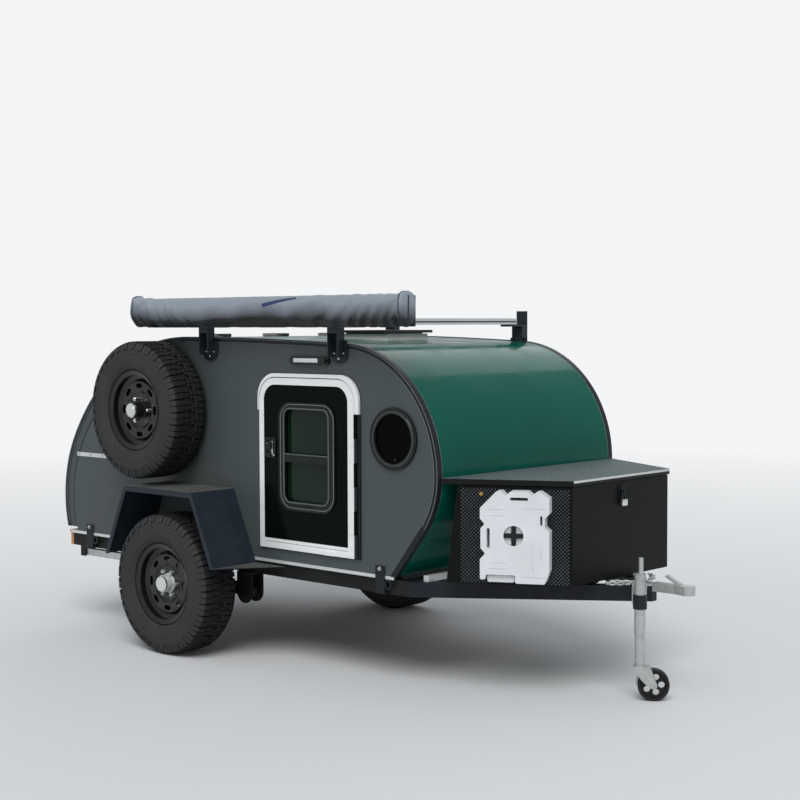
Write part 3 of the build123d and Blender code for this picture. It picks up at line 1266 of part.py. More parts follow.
def jack_point(along, outward, z):
    """A point given along and away from the tongue arm, from the jack's axis."""
    return (JACK_AXIS[0] + ARM_DIR[0] * along + ARM_OUT[0] * outward,
            JACK_AXIS[1] + ARM_DIR[1] * along + ARM_OUT[1] * outward, z)


def jack_rod(start, end, radius):
    """A round piece between two points given as along, outward and height."""
    return rod(jack_point(*start), jack_point(*end), radius)


def make_jack_tube():
    """Bracket on the arm, and the outer tube with its saddle, head and crank."""
    mount = Plane(origin=(*JACK_FACE, 0), x_dir=(*ARM_DIR, 0), z_dir=(*ARM_OUT, 0))

    def on_arm(face, start, thick):
        return extrude(mount.offset(start) * face, amount=thick)

    low = JACK_PIVOT_Z - JACK_SADDLE_R
    half = JACK_PLATE_WIDTH / 2
    plate = rounded(-half, half, low, JACK_PLATE_TOP, 10.0)
    bracket = on_arm(plate, SEAT_GAP, JACK_PLATE_THICK)
    block_face = rounded(-half, half, JACK_PLATE_TOP - JACK_BLOCK_HEIGHT, JACK_PLATE_TOP, 10.0)
    bracket += on_arm(block_face, SEAT_GAP, JACK_PLATE_THICK + JACK_BLOCK_OUT)
    pivot = Pos(0, JACK_PIVOT_Z) * Circle(JACK_SADDLE_R)
    boss_out = SEAT_GAP + JACK_PLATE_THICK + JACK_BOSS_LENGTH
    bracket += on_arm(pivot, SEAT_GAP, boss_out - SEAT_GAP)
    save("jack_bracket", bracket)
    top = JACK_PIVOT_Z + JACK_TUBE_ABOVE
    foot = jack_point(0, 0, JACK_TUBE_BOTTOM)
    outer = tube(foot, jack_point(0, 0, top), JACK_TUBE_R, JACK_TUBE_WALL)
    saddle = on_arm(pivot, boss_out + SEAT_GAP, JACK_OUT - boss_out - SEAT_GAP)
    outer += saddle - jack_rod((0, 0, JACK_TUBE_BOTTOM), (0, 0, top), JACK_TUBE_R - 1.0)
    head = top + JACK_HEAD
    outer += jack_rod((0, 0, top - 4.0), (0, 0, head), JACK_TUBE_R + 2.0)
    crank_z = head + JACK_GRIP_R * 2
    past = JACK_CRANK_R * 1.5
    outer += jack_rod((0, 0, head - 1.0), (0, 0, crank_z + past), JACK_CRANK_R)
    outer += jack_rod((0, -past, crank_z), (0, JACK_CRANK_LENGTH, crank_z), JACK_ARM_R)
    grip_y = JACK_CRANK_LENGTH - JACK_CRANK_R
    grip_foot = crank_z - JACK_CRANK_R
    outer += jack_rod((0, grip_y, grip_foot), (0, grip_y, grip_foot + JACK_GRIP_LENGTH), JACK_GRIP_R)
    save("jack_tube", outer)


def make_jack_foot():
    """Inner tube, the swivelling fork with its axle, and the spoked wheel."""
    stem = JACK_STEM
    inner_r = JACK_TUBE_R - JACK_TUBE_WALL - JACK_SLIDE_FIT
    inner_foot = stem + JACK_DISC + JACK_DISC_SEAT
    inner = jack_rod((0, 0, inner_foot), (0, 0, JACK_TUBE_BOTTOM + JACK_ENGAGED), inner_r)
    nut_top = stem - JACK_CROWN - JACK_NUT_SEAT
    inner += jack_rod((0, 0, nut_top - 1.0), (0, 0, inner_foot + 1.0), JACK_SPIGOT_R)
    inner += jack_rod((0, 0, nut_top - JACK_NUT), (0, 0, nut_top), JACK_NUT_R)
    save("jack_inner", inner)
    half = JACK_WHEEL_WIDTH / 2 + JACK_FORK_GAP
    upright = Plane(origin=jack_point(0, 0, 0), x_dir=(*ARM_DIR, 0), z_dir=(*ARM_OUT, 0))
    axle = (JACK_TRAIL, JACK_WHEEL_R)
    low = (axle[0] - JACK_BOSS_R * 0.6, axle[1] - JACK_BOSS_R * 0.8)
    ahead = (axle[0] + JACK_BOSS_R * 0.9, axle[1] + JACK_BOSS_R * 0.4)
    cheek = make_face([
        Line((-JACK_CHEEK_BACK, stem), (JACK_CHEEK_FRONT, stem)),
        Line((JACK_CHEEK_FRONT, stem), ahead),
        Line(ahead, low),
        ThreePointArc(low, (0.0, stem - JACK_FORK_DROP * 0.6), (-JACK_CHEEK_BACK, stem)),
    ])
    cheek += Pos(*axle) * Circle(JACK_BOSS_R)
    fork = jack_rod((0, 0, stem), (0, 0, stem + JACK_DISC), JACK_DISC_R)
    crown = rounded(-JACK_CHEEK_BACK, JACK_CHEEK_FRONT, stem - JACK_CROWN, stem, 1.0)
    reach = half + JACK_FORK_PLATE
    fork += extrude(upright.offset(-reach) * crown, amount=2 * reach)
    fork -= jack_rod((0, 0, nut_top), (0, 0, inner_foot), JACK_SPIGOT_R + PIN_FIT)
    for start in (half, -reach):
        fork += extrude(upright.offset(start) * cheek, amount=JACK_FORK_PLATE)
    end = reach + JACK_AXLE_END
    fork += jack_rod((JACK_TRAIL, -end, JACK_WHEEL_R), (JACK_TRAIL, end, JACK_WHEEL_R), JACK_AXLE_R)
    save("jack_fork", fork)
    centre = Pos(*axle)
    wide = JACK_WHEEL_WIDTH / 2
    boss = JACK_AXLE_R * 2
    bore = Circle(JACK_AXLE_R + JACK_AXLE_FIT)
    tread = Circle(JACK_WHEEL_R) - Circle(JACK_WHEEL_R - JACK_TREAD)
    web = Circle(JACK_WHEEL_R - JACK_TREAD + 1.0) - bore
    pocket_r = (JACK_WHEEL_R - JACK_TREAD + boss) / 2
    for i in range(JACK_SPOKES):
        web -= Rot(0, 0, 360.0 / JACK_SPOKES * i) * Pos(pocket_r, 0) * Circle(pocket_r * 0.42)
    wheel = extrude(upright.offset(-wide) * centre * tread, amount=2 * wide)
    wheel += extrude(upright.offset(-JACK_WEB / 2) * centre * web, amount=JACK_WEB)
    wheel += extrude(upright.offset(-wide) * centre * (Circle(boss) - bore), amount=2 * wide)
    save("jack_wheel", wheel)


def make_legs():
    """Drop-down stabilising legs at the rear corners, folded up."""
    half = LEG_TUBE / 2
    inner = half - LEG_TUBE_WALL
    end = LEG_X + LEG_LENGTH
    leg = block(LEG_X - half, end, -LEG_Y - half, -LEG_Y + half, LEG_Z - half, LEG_Z + half)
    leg -= block(LEG_X + LEG_TUBE, end + 1.0, -LEG_Y - inner, -LEG_Y + inner, LEG_Z - inner, LEG_Z + inner)
    leg += block(end, end + LEG_FOOT_THICK, -LEG_Y - LEG_FOOT / 2, -LEG_Y + LEG_FOOT / 2,
                 LEG_Z - LEG_FOOT + half, LEG_Z + half)
    leg -= rod((LEG_X, -LEG_Y - LEG_TUBE, LEG_Z), (LEG_X, -LEG_Y + LEG_TUBE, LEG_Z), LEG_PIN_R + PIN_FIT)
    save_pair("stabiliser", leg)


# Roof gear
def rack_bracket(x):
    """A channel on the wall with rounded lower corners, reaching out to the awning and in to the bar."""
    half = BRACKET_WIDTH / 2
    under_bar = BAR_Z - BAR_HEIGHT / 2
    wall_y = -HALF - TRIM_THICK
    out_y = -HALF - BRACKET_DEPTH
    face = rounded(x - half, x + half, BRACKET_FOOT, under_bar, BRACKET_CORNER)
    face += rounded(x - half, x + half, (BRACKET_FOOT + under_bar) / 2, under_bar, 1.0)
    bracket = side_plate(face, wall_y - BRACKET_THICK, wall_y)
    pad = half - BRACKET_THICK
    bracket += block(x - pad, x + pad, wall_y, -HALF, BRACKET_FOOT + BRACKET_CORNER / 2,
                     BRACKET_FOOT + 2 * BRACKET_CORNER)
    for x0 in (x - half, x + half - BRACKET_THICK):
        bracket += block(x0, x0 + BRACKET_THICK, out_y, wall_y, BRACKET_FOOT + BRACKET_CORNER, under_bar)
    bracket += block(x - half, x + half, out_y, -BAR_HALF + BRACKET_WIDTH,
                     under_bar - 2 * BRACKET_THICK, under_bar)
    bracket += block(x - half, x + half, out_y, out_y + BRACKET_THICK, BAG_BOTTOM - BRACKET_CORNER,
                     BAG_BOTTOM + BAG_HEIGHT / 2)
    return bracket


def make_roof_gear():
    """Rack brackets, crossbars, the rolled awning in its bag, and the roof vent."""
    stations = (RACK_FIRST_X, RACK_FIRST_X + RACK_SPREAD)
    save("rack_brackets", both(solids_of(*[rack_bracket(x) for x in stations])))
    bars = [block(x - BAR_DEPTH / 2, x + BAR_DEPTH / 2, -BAR_HALF, BAR_HALF,
                  BAR_Z - BAR_HEIGHT / 2, BAR_Z + BAR_HEIGHT / 2) for x in stations]
    save("crossbars", solids_of(*bars))
    bag_y = HALF + BRACKET_DEPTH + SOFT_GAP
    bag_face = Pos(-bag_y - BAG_DEPTH / 2, BAG_BOTTOM + BAG_HEIGHT / 2)
    bag_face *= RectangleRounded(BAG_DEPTH, BAG_HEIGHT, BAG_CORNER)
    save("awning_bag", extrude(Plane.YZ.offset(BAG_REAR) * bag_face, amount=BAG_FRONT - BAG_REAR))
    roof = roof_height(VENT_X)

    def vent_layer(width, z0, z1):
        face = Plane.XY.offset(z0) * Pos(VENT_X, 0) * RectangleRounded(width, width, VENT_CORNER)
        return extrude(face, amount=z1 - z0)

    base = vent_layer(VENT_WIDTH, roof - 6.0, roof + VENT_BASE) - side_plate(outline(0.0), -HALF, HALF)
    neck_top = roof + VENT_BASE + VENT_NECK
    neck = vent_layer(VENT_WIDTH - 2 * VENT_NECK_INSET, roof + VENT_BASE, neck_top)
    lid = vent_layer(VENT_WIDTH + 2 * VENT_LID_GROW, neck_top, neck_top + VENT_LID)
    save("roof_vent", base + neck + lid)


# Rear and small fittings
def make_rear():
    """Tail lamps and the number plate bracket on the rear of the frame."""
    lamp = block(RAIL_REAR - LAMP_DEPTH, RAIL_REAR, -RAIL_HALF, -RAIL_HALF + LAMP_WIDTH,
                 RAIL_BOTTOM, RAIL_BOTTOM + LAMP_HEIGHT)
    save("tail_lamps", both(lamp))
    foot = RAIL_BOTTOM - PLATE_DROP
    half = PLATE_WIDTH / 2
    plate = block(RAIL_REAR - PLATE_THICK, RAIL_REAR, -half, half, foot, foot + PLATE_HEIGHT)
    hole_z = RAIL_BOTTOM - PLATE_HOLE_DROP
    for y in (-PLATE_HOLE_SPACING / 2, PLATE_HOLE_SPACING / 2):
        plate -= rod((RAIL_REAR - 2 * PLATE_THICK, y, hole_z), (RAIL_REAR + PLATE_THICK, y, hole_z),
                     PLATE_HOLE_R)
    save("plate_bracket", plate)


def make_tie_brackets():
    """Plates on the rails with a folded foot and a ring."""
    brackets = []
    for x in (TIE_FRONT_X, TIE_REAR_X):
        half = TIE_WIDTH / 2
        face_y = -HALF - STRIP_THICK
        out_y = face_y - TIE_PLATE
        bracket = block(x - half, x + half, out_y, face_y, RAIL_BOTTOM, RAIL_TOP + TIE_RISE)
        bracket += block(x - half, x + half, face_y, -RAIL_HALF - SEAT_GAP,
                         RAIL_BOTTOM, RAIL_TOP - TIE_PLATE)
        ring_x = x + half + TIE_RING_R
        ring = Circle(TIE_RING_R) - Circle(TIE_RING_R - 2 * TIE_RING_ROD)
        ring_z = RAIL_TOP - TIE_RING_R
        bracket += side_plate(Pos(ring_x, ring_z) * ring, out_y, face_y)
        bracket += block(x, ring_x - TIE_RING_R + TIE_RING_ROD, out_y, face_y,
                         ring_z - TIE_RING_ROD, ring_z + TIE_RING_ROD)
        brackets.append(bracket)
    save("tie_brackets", both(solids_of(*brackets)))


def chain_link(turn):
    """A link drawn along X about its own middle, turned about its length."""
    length = CHAIN_PITCH + 2 * CHAIN_ROD + CHAIN_SLACK
    ring = SlotOverall(length, CHAIN_WIDTH)
    ring -= SlotOverall(length - 2 * CHAIN_ROD, CHAIN_WIDTH - 2 * CHAIN_ROD)
    return Rot(turn, 0, 0) * Pos(0, 0, -CHAIN_ROD / 2) * extrude(ring, amount=CHAIN_ROD)


def make_chains():
    """Two short safety chains that lie on the tongue arms, each held by a pin on its arm."""
    links = []
    for i in range(CHAIN_LINKS):
        turn = CHAIN_TILT if i % 2 else -CHAIN_TILT
        links.append(chain_place(CHAIN_START + CHAIN_PITCH * i) * chain_link(turn))
    save("safety_chains", both(solids_of(*links)))


os.makedirs("parts", exist_ok=True)
make_frame()
make_coupler()
make_floor_and_walls()
make_skin()
make_hatch()
make_galley()
make_strips()
make_doors()
make_portholes()
make_wheels()
make_suspension()
make_fenders()
make_toolbox()
make_container()
make_jack_tube()
make_jack_foot()
make_legs()
make_roof_gear()
make_rear()
make_tie_brackets()
make_chains()
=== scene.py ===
"""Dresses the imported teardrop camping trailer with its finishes, tread, cloth bag and fittings."""

import logging
import math
from contextlib import contextmanager
from dataclasses import dataclass
from enum import Enum
from typing import Callable, Iterable, Iterator, Sequence

import bpy
from mathutils import Matrix, Vector


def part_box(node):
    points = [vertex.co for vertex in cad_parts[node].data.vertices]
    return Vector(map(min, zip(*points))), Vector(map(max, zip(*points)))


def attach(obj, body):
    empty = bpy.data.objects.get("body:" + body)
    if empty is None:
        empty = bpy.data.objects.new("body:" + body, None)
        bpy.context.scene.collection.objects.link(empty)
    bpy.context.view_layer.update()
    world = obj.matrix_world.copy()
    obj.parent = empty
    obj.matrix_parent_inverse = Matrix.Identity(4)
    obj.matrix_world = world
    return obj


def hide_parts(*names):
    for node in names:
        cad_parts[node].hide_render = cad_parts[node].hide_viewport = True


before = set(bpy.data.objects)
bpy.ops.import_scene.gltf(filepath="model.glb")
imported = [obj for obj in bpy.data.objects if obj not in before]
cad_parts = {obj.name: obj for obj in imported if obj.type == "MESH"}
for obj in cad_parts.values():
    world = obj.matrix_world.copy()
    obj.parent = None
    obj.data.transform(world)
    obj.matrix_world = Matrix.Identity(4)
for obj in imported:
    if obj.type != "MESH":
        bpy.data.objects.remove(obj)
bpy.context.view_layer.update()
LOG = logging.getLogger("trailer")
AXLE_X = sum(corner.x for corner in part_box("tyre_right")) / 2
WALL_FACE = 727.0
TRIM_FACE = 730.4
PORTHOLE = (1477.0, 1238.0)
RACK_PLATES = (112.0, 1109.0)
BARS = (103.0, 1103.0)
UPRIGHT = Vector((0, 0, 1))
CROSSWISE = Vector((0, 1, 0))
Tone = tuple[float, float, float]
Points = Sequence[Vector]


def at(x: float, y: float, z: float) -> Vector:
    """Turn millimetres about the axle into a point of the scene.

    Args:
        x: Distance ahead of the axle.
        y: Distance to the left of the centre line.
        z: Height above the ground.

    Returns:
        The point in metres.
    """
    return Vector((AXLE_X + x / 1000, y / 1000, z / 1000))


class Side(Enum):
    """The two sides of the trailer, as the sign of Y."""

    RIGHT = -1
    LEFT = 1

    @property
    def word(self) -> str:
        """The word that the CAD nodes of this side end with."""
        return self.name.lower()

    @property
    def out(self) -> Vector:
        """The way out of the trailer on this side."""
        return Vector((0, self.value, 0))


class Wiring:
    """The node tree of one finish, wired step by step."""

    def __init__(self, name: str) -> None:
        """Start a material.

        Args:
            name: The material's name.
        """
        self.material = bpy.data.materials.new(name)
        self.material.use_nodes = True
        self.tree = self.material.node_tree
        self.shader = self.tree.nodes["Principled BSDF"]
        self.coordinates = self.tree.nodes.new("ShaderNodeTexCoord")
        self.place = self.coordinates.outputs["Object"]

    def node(self, kind: str, inputs: dict | None = None, **settings: object) -> bpy.types.Node:
        """Add a node.

        Args:
            kind: Its type.
            inputs: Values or sockets for its inputs, by name or number.
            **settings: Attributes to set on it.

        Returns:
            The node.
        """
        made = self.tree.nodes.new(kind)
        for key, value in settings.items():
            setattr(made, key, value)
        for key, value in (inputs or {}).items():
            self.feed(made.inputs[key], value)
        return made

    def feed(self, socket: bpy.types.NodeSocket, value: object) -> None:
        """Set a socket to a value, or link it to another socket."""
        if isinstance(value, bpy.types.NodeSocket):
            self.tree.links.new(value, socket)
        else:
            socket.default_value = value

    def noise(self, scale: float, detail: float = 3.0,
              stretch: Sequence[float] = (1, 1, 1)) -> bpy.types.NodeSocket:
        """Noise over the piece.

        Args:
            scale: Cells to the metre.
            detail: Octaves.
            stretch: Factors on the three coordinates.

        Returns:
            A value about one half.
        """
        place = self.node("ShaderNodeMapping", {"Vector": self.place, "Scale": tuple(stretch)})
        inputs = {"Vector": place.outputs[0], "Scale": scale, "Detail": detail}
        return self.node("ShaderNodeTexNoise", inputs).outputs["Fac"]

    def cells(self, scale: float, feature: str = "F1") -> bpy.types.Node:
        """A cell pattern over the piece."""
        return self.node("ShaderNodeTexVoronoi", {"Vector": self.place, "Scale": scale}, feature=feature)

    def sum(self, kind: str, first: object, second: object = 0.0) -> bpy.types.NodeSocket:
        """The result of one arithmetic step."""
        return self.node("ShaderNodeMath", {0: first, 1: second}, operation=kind).outputs[0]

    def spread(self, value: object, low: float, high: float, start: float = 0.3,
               stop: float = 0.7) -> bpy.types.NodeSocket:
        """Map a value from one range to another.

        Args:
            value: The socket to map.
            low: Result at the start.
            high: Result at the stop.
            start: Where the range starts.
            stop: Where the range stops.

        Returns:
            The mapped value.
        """
        inputs = {"Value": value, "From Min": start, "From Max": stop, "To Min": low, "To Max": high}
        return self.node("ShaderNodeMapRange", inputs).outputs["Result"]

    def blend(self, share: object, first: object, second: object) -> bpy.types.NodeSocket:
        """Mix two colours.

        Args:
            share: How much of the second.
            first: The first colour, as a tone or a socket.
            second: The second colour, as a tone or a socket.

        Returns:
            The mixed colour.
        """
        mixer = self.node("ShaderNodeMix", data_type="RGBA")
        self.feed(mixer.inputs["Factor"], share)
        for socket, value in ((mixer.inputs[6], first), (mixer.inputs[7], second)):
            self.feed(socket, (*value, 1.0) if isinstance(value, tuple) else value)
        return mixer.outputs[2]

    def axis(self, letter: str, absolute: bool = False) -> bpy.types.NodeSocket:
        """One coordinate of the piece, in metres."""
        value = self.node("ShaderNodeSeparateXYZ", {0: self.place}).outputs[letter]
        return self.sum("ABSOLUTE", value) if absolute else value

    def beyond(self, letter: str, value: float, absolute: bool = False) -> bpy.types.NodeSocket:
        """One where a coordinate is past a value, and nought elsewhere."""
        return self.sum("GREATER_THAN", self.axis(letter, absolute), value)

    def short_of(self, letter: str, value: float, absolute: bool = False) -> bpy.types.NodeSocket:
        """One where a coordinate is below a value, and nought elsewhere."""
        return self.sum("LESS_THAN", self.axis(letter, absolute), value)

    def either(self, *masks: bpy.types.NodeSocket) -> bpy.types.NodeSocket:
        """One where any of the masks is one."""
        result = masks[0]
        for mask in masks[1:]:
            result = self.sum("MAXIMUM", result, mask)
        return result

    def bump(self, height: object, depth: float) -> None:
        """Raise the surface by a height pattern, to a depth in metres."""
        node = self.node("ShaderNodeBump", {"Height": height, "Distance": depth, "Strength": 1.0})
        self.feed(self.shader.inputs["Normal"], node.outputs[0])


@dataclass(frozen=True)
class Coating:
    """A painted, moulded or metal surface with fine grain, patches and a trace of dust.

    Its constants go on the shader's own sockets, and what varies is wired.
    """

    name: str
    tone: Tone
    rough: float = 0.45
    vary: float = 0.12
    patch: float = 3.0
    grain: float = 500.0
    depth: float = 0.0002
    metal: float = 0.0
    coat: float = 0.0
    specular: float = 0.5
    dust: float = 0.0
    stretch: tuple[float, float, float] = (1, 1, 1)
    slot: str = "black_frame"

    def shades(self, wiring: Wiring) -> bpy.types.NodeSocket:
        """The colour, with its patches and dust.

        Args:
            wiring: The finish's node tree.

        Returns:
            The colour socket.
        """
        dark = tuple(channel * (1 - self.vary) for channel in self.tone)
        light = tuple(min(1.0, channel * (1 + self.vary)) for channel in self.tone)
        patches = wiring.spread(wiring.noise(self.patch, 4.0, self.stretch), 0.0, 1.0)
        colour = wiring.blend(patches, dark, light)
        if self.dust:
            lie = wiring.spread(wiring.noise(self.patch * 3, 6.0), 0.0, self.dust, 0.45, 0.75)
            colour = wiring.blend(lie, colour, DUST)
        return colour

    def gloss(self, wiring: Wiring) -> bpy.types.NodeSocket:
        """The roughness, with its faint smears."""
        smears = wiring.noise(self.patch * 5, 4.0, self.stretch)
        return wiring.spread(smears, max(0.02, self.rough * 0.85), min(1.0, self.rough * 1.15))

    def relief(self, wiring: Wiring) -> bpy.types.NodeSocket:
        """The height pattern of the surface."""
        return wiring.noise(self.grain, 2.0, self.stretch)

    def material(self) -> bpy.types.Material:
        """The finish as a material, made once.

        Returns:
            The material.
        """
        made = bpy.data.materials.get(self.name)
        if made:
            return made
        wiring = Wiring(self.name)
        inputs = wiring.shader.inputs
        inputs["Metallic"].default_value = self.metal
        inputs["Coat Weight"].default_value = self.coat
        inputs["Coat Roughness"].default_value = 0.04
        inputs["Specular IOR Level"].default_value = self.specular
        wiring.feed(inputs["Base Color"], self.shades(wiring))
        wiring.feed(inputs["Roughness"], self.gloss(wiring))
        wiring.bump(self.relief(wiring), self.depth)
        self.finish(wiring)
        return wiring.material

    def finish(self, wiring: Wiring) -> None:
        """Add what only this kind of finish has; a plain coating has nothing more."""


@dataclass(frozen=True)
class Galvanised(Coating):
    """Zinc-coated steel with its spangle of crystals."""

    spangle: float = 90.0

    def shades(self, wiring: Wiring) -> bpy.types.NodeSocket:
        """The colour, with a different grey for each crystal."""
        colour = super().shades(wiring)
        crystal = wiring.node("ShaderNodeSeparateColor", {0: wiring.cells(self.spangle).outputs["Color"]})
        dull = tuple(channel * 0.78 for channel in self.tone)
        return wiring.blend(wiring.spread(crystal.outputs[0], 0.0, 0.55, 0.0, 1.0), colour, dull)


@dataclass(frozen=True)
class Cloth(Coating):
    """Coated cloth with a fine weave and a soft sheen, with painted light from above where a lit top tone is
    given.
    """

    weave: float = 900.0
    # Painted light from above: the tone painted on the upper part, and the heights where it starts and where it
    # is full.
    lit_top: Tone | None = None
    lit_from: float = 0.0
    lit_to: float = 1.0

    def shades(self, wiring: Wiring) -> bpy.types.NodeSocket:
        """The colour, painted paler towards the top along a wavy line, as a painted highlight from light above.
        """
        colour = super().shades(wiring)
        if self.lit_top is None:
            return colour
        wander = wiring.spread(wiring.noise(3.2, 3.0, (1, 0.2, 0.2)), -0.022, 0.022)
        height = wiring.sum("ADD", wiring.axis("Z"), wander)
        share = wiring.spread(height, 0.0, 1.0, self.lit_from, self.lit_to)
        return wiring.blend(share, colour, self.lit_top)

    def relief(self, wiring: Wiring) -> bpy.types.NodeSocket:
        """Threads across and along, over broad creases."""
        inputs = {"Vector": wiring.place, "Scale": self.weave}
        across = wiring.node("ShaderNodeTexWave", inputs, bands_direction="X")
        along = wiring.node("ShaderNodeTexWave", inputs, bands_direction="Z")
        threads = wiring.sum("MULTIPLY", wiring.sum("ADD", across.outputs["Fac"], along.outputs["Fac"]), 0.2)
        creases = wiring.noise(9.0, 5.0, (0.35, 1, 1.4))
        return wiring.sum("ADD", threads, wiring.sum("MULTIPLY", creases, 2.5))

    def finish(self, wiring: Wiring) -> None:
        """Give the cloth its sheen."""
        wiring.shader.inputs["Sheen Weight"].default_value = 0.15
        wiring.shader.inputs["Sheen Roughness"].default_value = 0.5


@dataclass(frozen=True)
class Timber(Coating):
    """Varnished board with its rings drawn out along the trailer."""

    def shades(self, wiring: Wiring) -> bpy.types.NodeSocket:
        """The colour, with darker rings."""
        place = wiring.node("ShaderNodeMapping", {"Vector": wiring.place, "Scale": (1.0, 14.0, 14.0)})
        rings = wiring.node("ShaderNodeTexWave", {"Vector": place.outputs[0], "Scale": 0.9, "Distortion": 5.0})
        dark = tuple(channel * 0.6 for channel in self.tone)
        share = wiring.spread(rings.outputs["Fac"], 0.0, 0.8, 0.0, 1.0)
        return wiring.blend(share, super().shades(wiring), dark)


@dataclass(frozen=True)
class Glass(Coating):
    """Tinted glass, thin enough to see a bright room through."""

    clear: float = 0.25

    def finish(self, wiring: Wiring) -> None:
        """Let some light through."""
        wiring.shader.inputs["Transmission Weight"].default_value = self.clear
        wiring.shader.inputs["IOR"].default_value = 1.45


Zone = Callable[[Wiring], bpy.types.NodeSocket]


@dataclass(frozen=True)
class Zoned(Coating):
    """Two finishes on one node, split by where a point of it lies."""

    other: Coating | None = None
    zone: Zone | None = None

    def shades(self, wiring: Wiring) -> bpy.types.NodeSocket:
        """The colour of the zone that a point lies in."""
        return wiring.blend(self.zone(wiring), super().shades(wiring), self.other.shades(wiring))

    def gloss(self, wiring: Wiring) -> bpy.types.NodeSocket:
        """The roughness of the zone that a point lies in."""
        step = self.other.rough - self.rough
        shift = wiring.sum("MULTIPLY", self.zone(wiring), step)
        return wiring.sum("ADD", super().gloss(wiring), shift)

    def finish(self, wiring: Wiring) -> None:
        """Wire the metal where one zone is metal and the other isn't."""
        if self.other.metal != self.metal:
            metal = wiring.spread(self.zone(wiring), self.metal, self.other.metal, 0.0, 1.0)
            wiring.feed(wiring.shader.inputs["Metallic"], metal)


def is_outer_skin(wiring: Wiring) -> bpy.types.NodeSocket:
    """One on faces that look away from the middle of the body, and nought on the lining.

    Args:
        wiring: The finish's node tree.

    Returns:
        The mask.
    """
    middle = at(150.0, 0.0, 1000.0)
    arm = wiring.node("ShaderNodeVectorMath", {0: wiring.place, 1: tuple(middle)}, operation="SUBTRACT")
    flat = wiring.node("ShaderNodeVectorMath", {0: arm.outputs[0], 1: (1, 0, 1)}, operation="MULTIPLY")
    inputs = {0: flat.outputs[0], 1: wiring.coordinates.outputs["Normal"]}
    facing = wiring.node("ShaderNodeVectorMath", inputs, operation="DOT_PRODUCT")
    return wiring.sum("GREATER_THAN", facing.outputs["Value"], 0.0)


def is_hatch_skin(wiring: Wiring) -> bpy.types.NodeSocket:
    """One on the hatch's outer skin, and nought on its cheeks and lining."""
    return wiring.sum("MULTIPLY", is_outer_skin(wiring), wiring.short_of("Y", HALF - 0.0006, True))


def past(letter: str, value: float, absolute: bool = False) -> Zone:
    """A zone that starts where a coordinate passes a value."""
    return lambda wiring: wiring.beyond(letter, value, absolute)


def under(letter: str, value: float, absolute: bool = False) -> Zone:
    """A zone that ends where a coordinate reaches a value."""
    return lambda wiring: wiring.short_of(letter, value, absolute)


def facing(letter: str, least: float) -> Zone:
    """A zone of what looks along an axis, either way."""
    def mask(wiring: Wiring) -> bpy.types.NodeSocket:
        normal = wiring.node("ShaderNodeSeparateXYZ", {0: wiring.coordinates.outputs["Normal"]}).outputs[letter]
        return wiring.sum("GREATER_THAN", wiring.sum("ABSOLUTE", normal), least)
    return mask


def is_leaf_rim(wiring: Wiring) -> bpy.types.NodeSocket:
    """One on the bright edge frame of a door leaf."""
    low, high = at(549.0, 0, 668.0), at(1173.0, 0, 1487.0)
    lap = wiring.beyond("Y", HALF + 0.005, True)
    sides = wiring.either(wiring.short_of("X", low.x), wiring.beyond("X", high.x),
                          wiring.short_of("Z", low.z), wiring.beyond("Z", high.z))
    proud = wiring.sum("MULTIPLY", wiring.beyond("Y", HALF + 0.0125, True),
                       wiring.short_of("Y", HALF + 0.0168, True))
    rim = wiring.either(wiring.sum("MULTIPLY", lap, sides), proud)
    return wiring.sum("MULTIPLY", rim, wiring.short_of("X", at(1216.6, 0, 0).x))


def is_gutter(wiring: Wiring) -> bpy.types.NodeSocket:
    """One on the bright gutter over a door."""
    return wiring.sum("MULTIPLY", wiring.beyond("Y", HALF + 0.0042, True), wiring.beyond("Z", 1.350))


def is_lamp_lens(wiring: Wiring) -> bpy.types.NodeSocket:
    """One on the lens of a porch light, which leaves the bezel's front third dark. The lens is a real part, and
    its pale white is a painted reflection on it.
    """
    low, high = at(792.0, 0, 1607.0), at(970.0, 0, 1628.0)
    within = wiring.sum("MULTIPLY", wiring.beyond("X", low.x), wiring.short_of("X", high.x))
    level = wiring.sum("MULTIPLY", wiring.beyond("Z", low.z), wiring.short_of("Z", high.z))
    face = wiring.sum("MULTIPLY", wiring.beyond("Y", HALF + 0.0163, True), level)
    return wiring.sum("MULTIPLY", face, within)


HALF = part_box("side_wall_left")[1].y
LINING_FACE = HALF - 0.0305
LAMP_SPLIT = HALF - 0.065
HINGE_FOOT = 1.7345
LID_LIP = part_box("toolbox_lid")[1].z - 0.0015
VENT_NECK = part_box("roof_vent")[1].z - 0.0195
FLOOR_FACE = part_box("floor_panel")[1].z - 0.001
TURNED = 0.62
LEVEL = 0.9
DUST: Tone = (0.23, 0.21, 0.18)
STEEL_BLACK = Coating("SatinBlackSteel", (0.012, 0.015, 0.021), 0.40, 0.12, 5.0, 300.0, 0.0002, specular=0.2,
                      dust=0.03)
RAIL_PAINT = Coating("RailPaint", (0.011, 0.012, 0.012), 0.4, 0.12, 4.0, 350.0, 0.0002, specular=0.15,
                     dust=0.03)
RACK_PAINT = Coating("RackPaint", (0.021, 0.028, 0.036), 0.42, 0.12, 5.0, 300.0, 0.0002, specular=0.3)
WHEEL_BLACK = Coating("WheelBlack", (0.007, 0.008, 0.009), 0.24, 0.15, 9.0, 300.0, 0.0001, specular=0.5,
                      dust=0.02)
WALL_GREY = Coating("StippledWall", (0.068, 0.083, 0.082), 0.5, 0.06, 1.2, 700.0, 0.0006, specular=0.3)
LINING = Coating("CabinLining", (0.42, 0.40, 0.36), 0.7, 0.06, 2.0, 260.0, 0.0002)
DEEP_GREEN = Coating("DeepGreenGloss", (0.0012, 0.096, 0.070), 0.16, 0.1, 1.2, 40.0, 0.0002, specular=0.14)
DOOR_BLACK = Coating("DoorBlack", (0.0015, 0.004, 0.003), 0.12, 0.2, 2.0, 60.0, 0.0001, specular=0.05)
BRIGHT = Coating("BrushedAluminium", (0.93, 0.94, 0.935), 0.32, 0.05, 8.0, 700.0, 0.0001, metal=0.3,
                 stretch=(0.2, 1, 4))
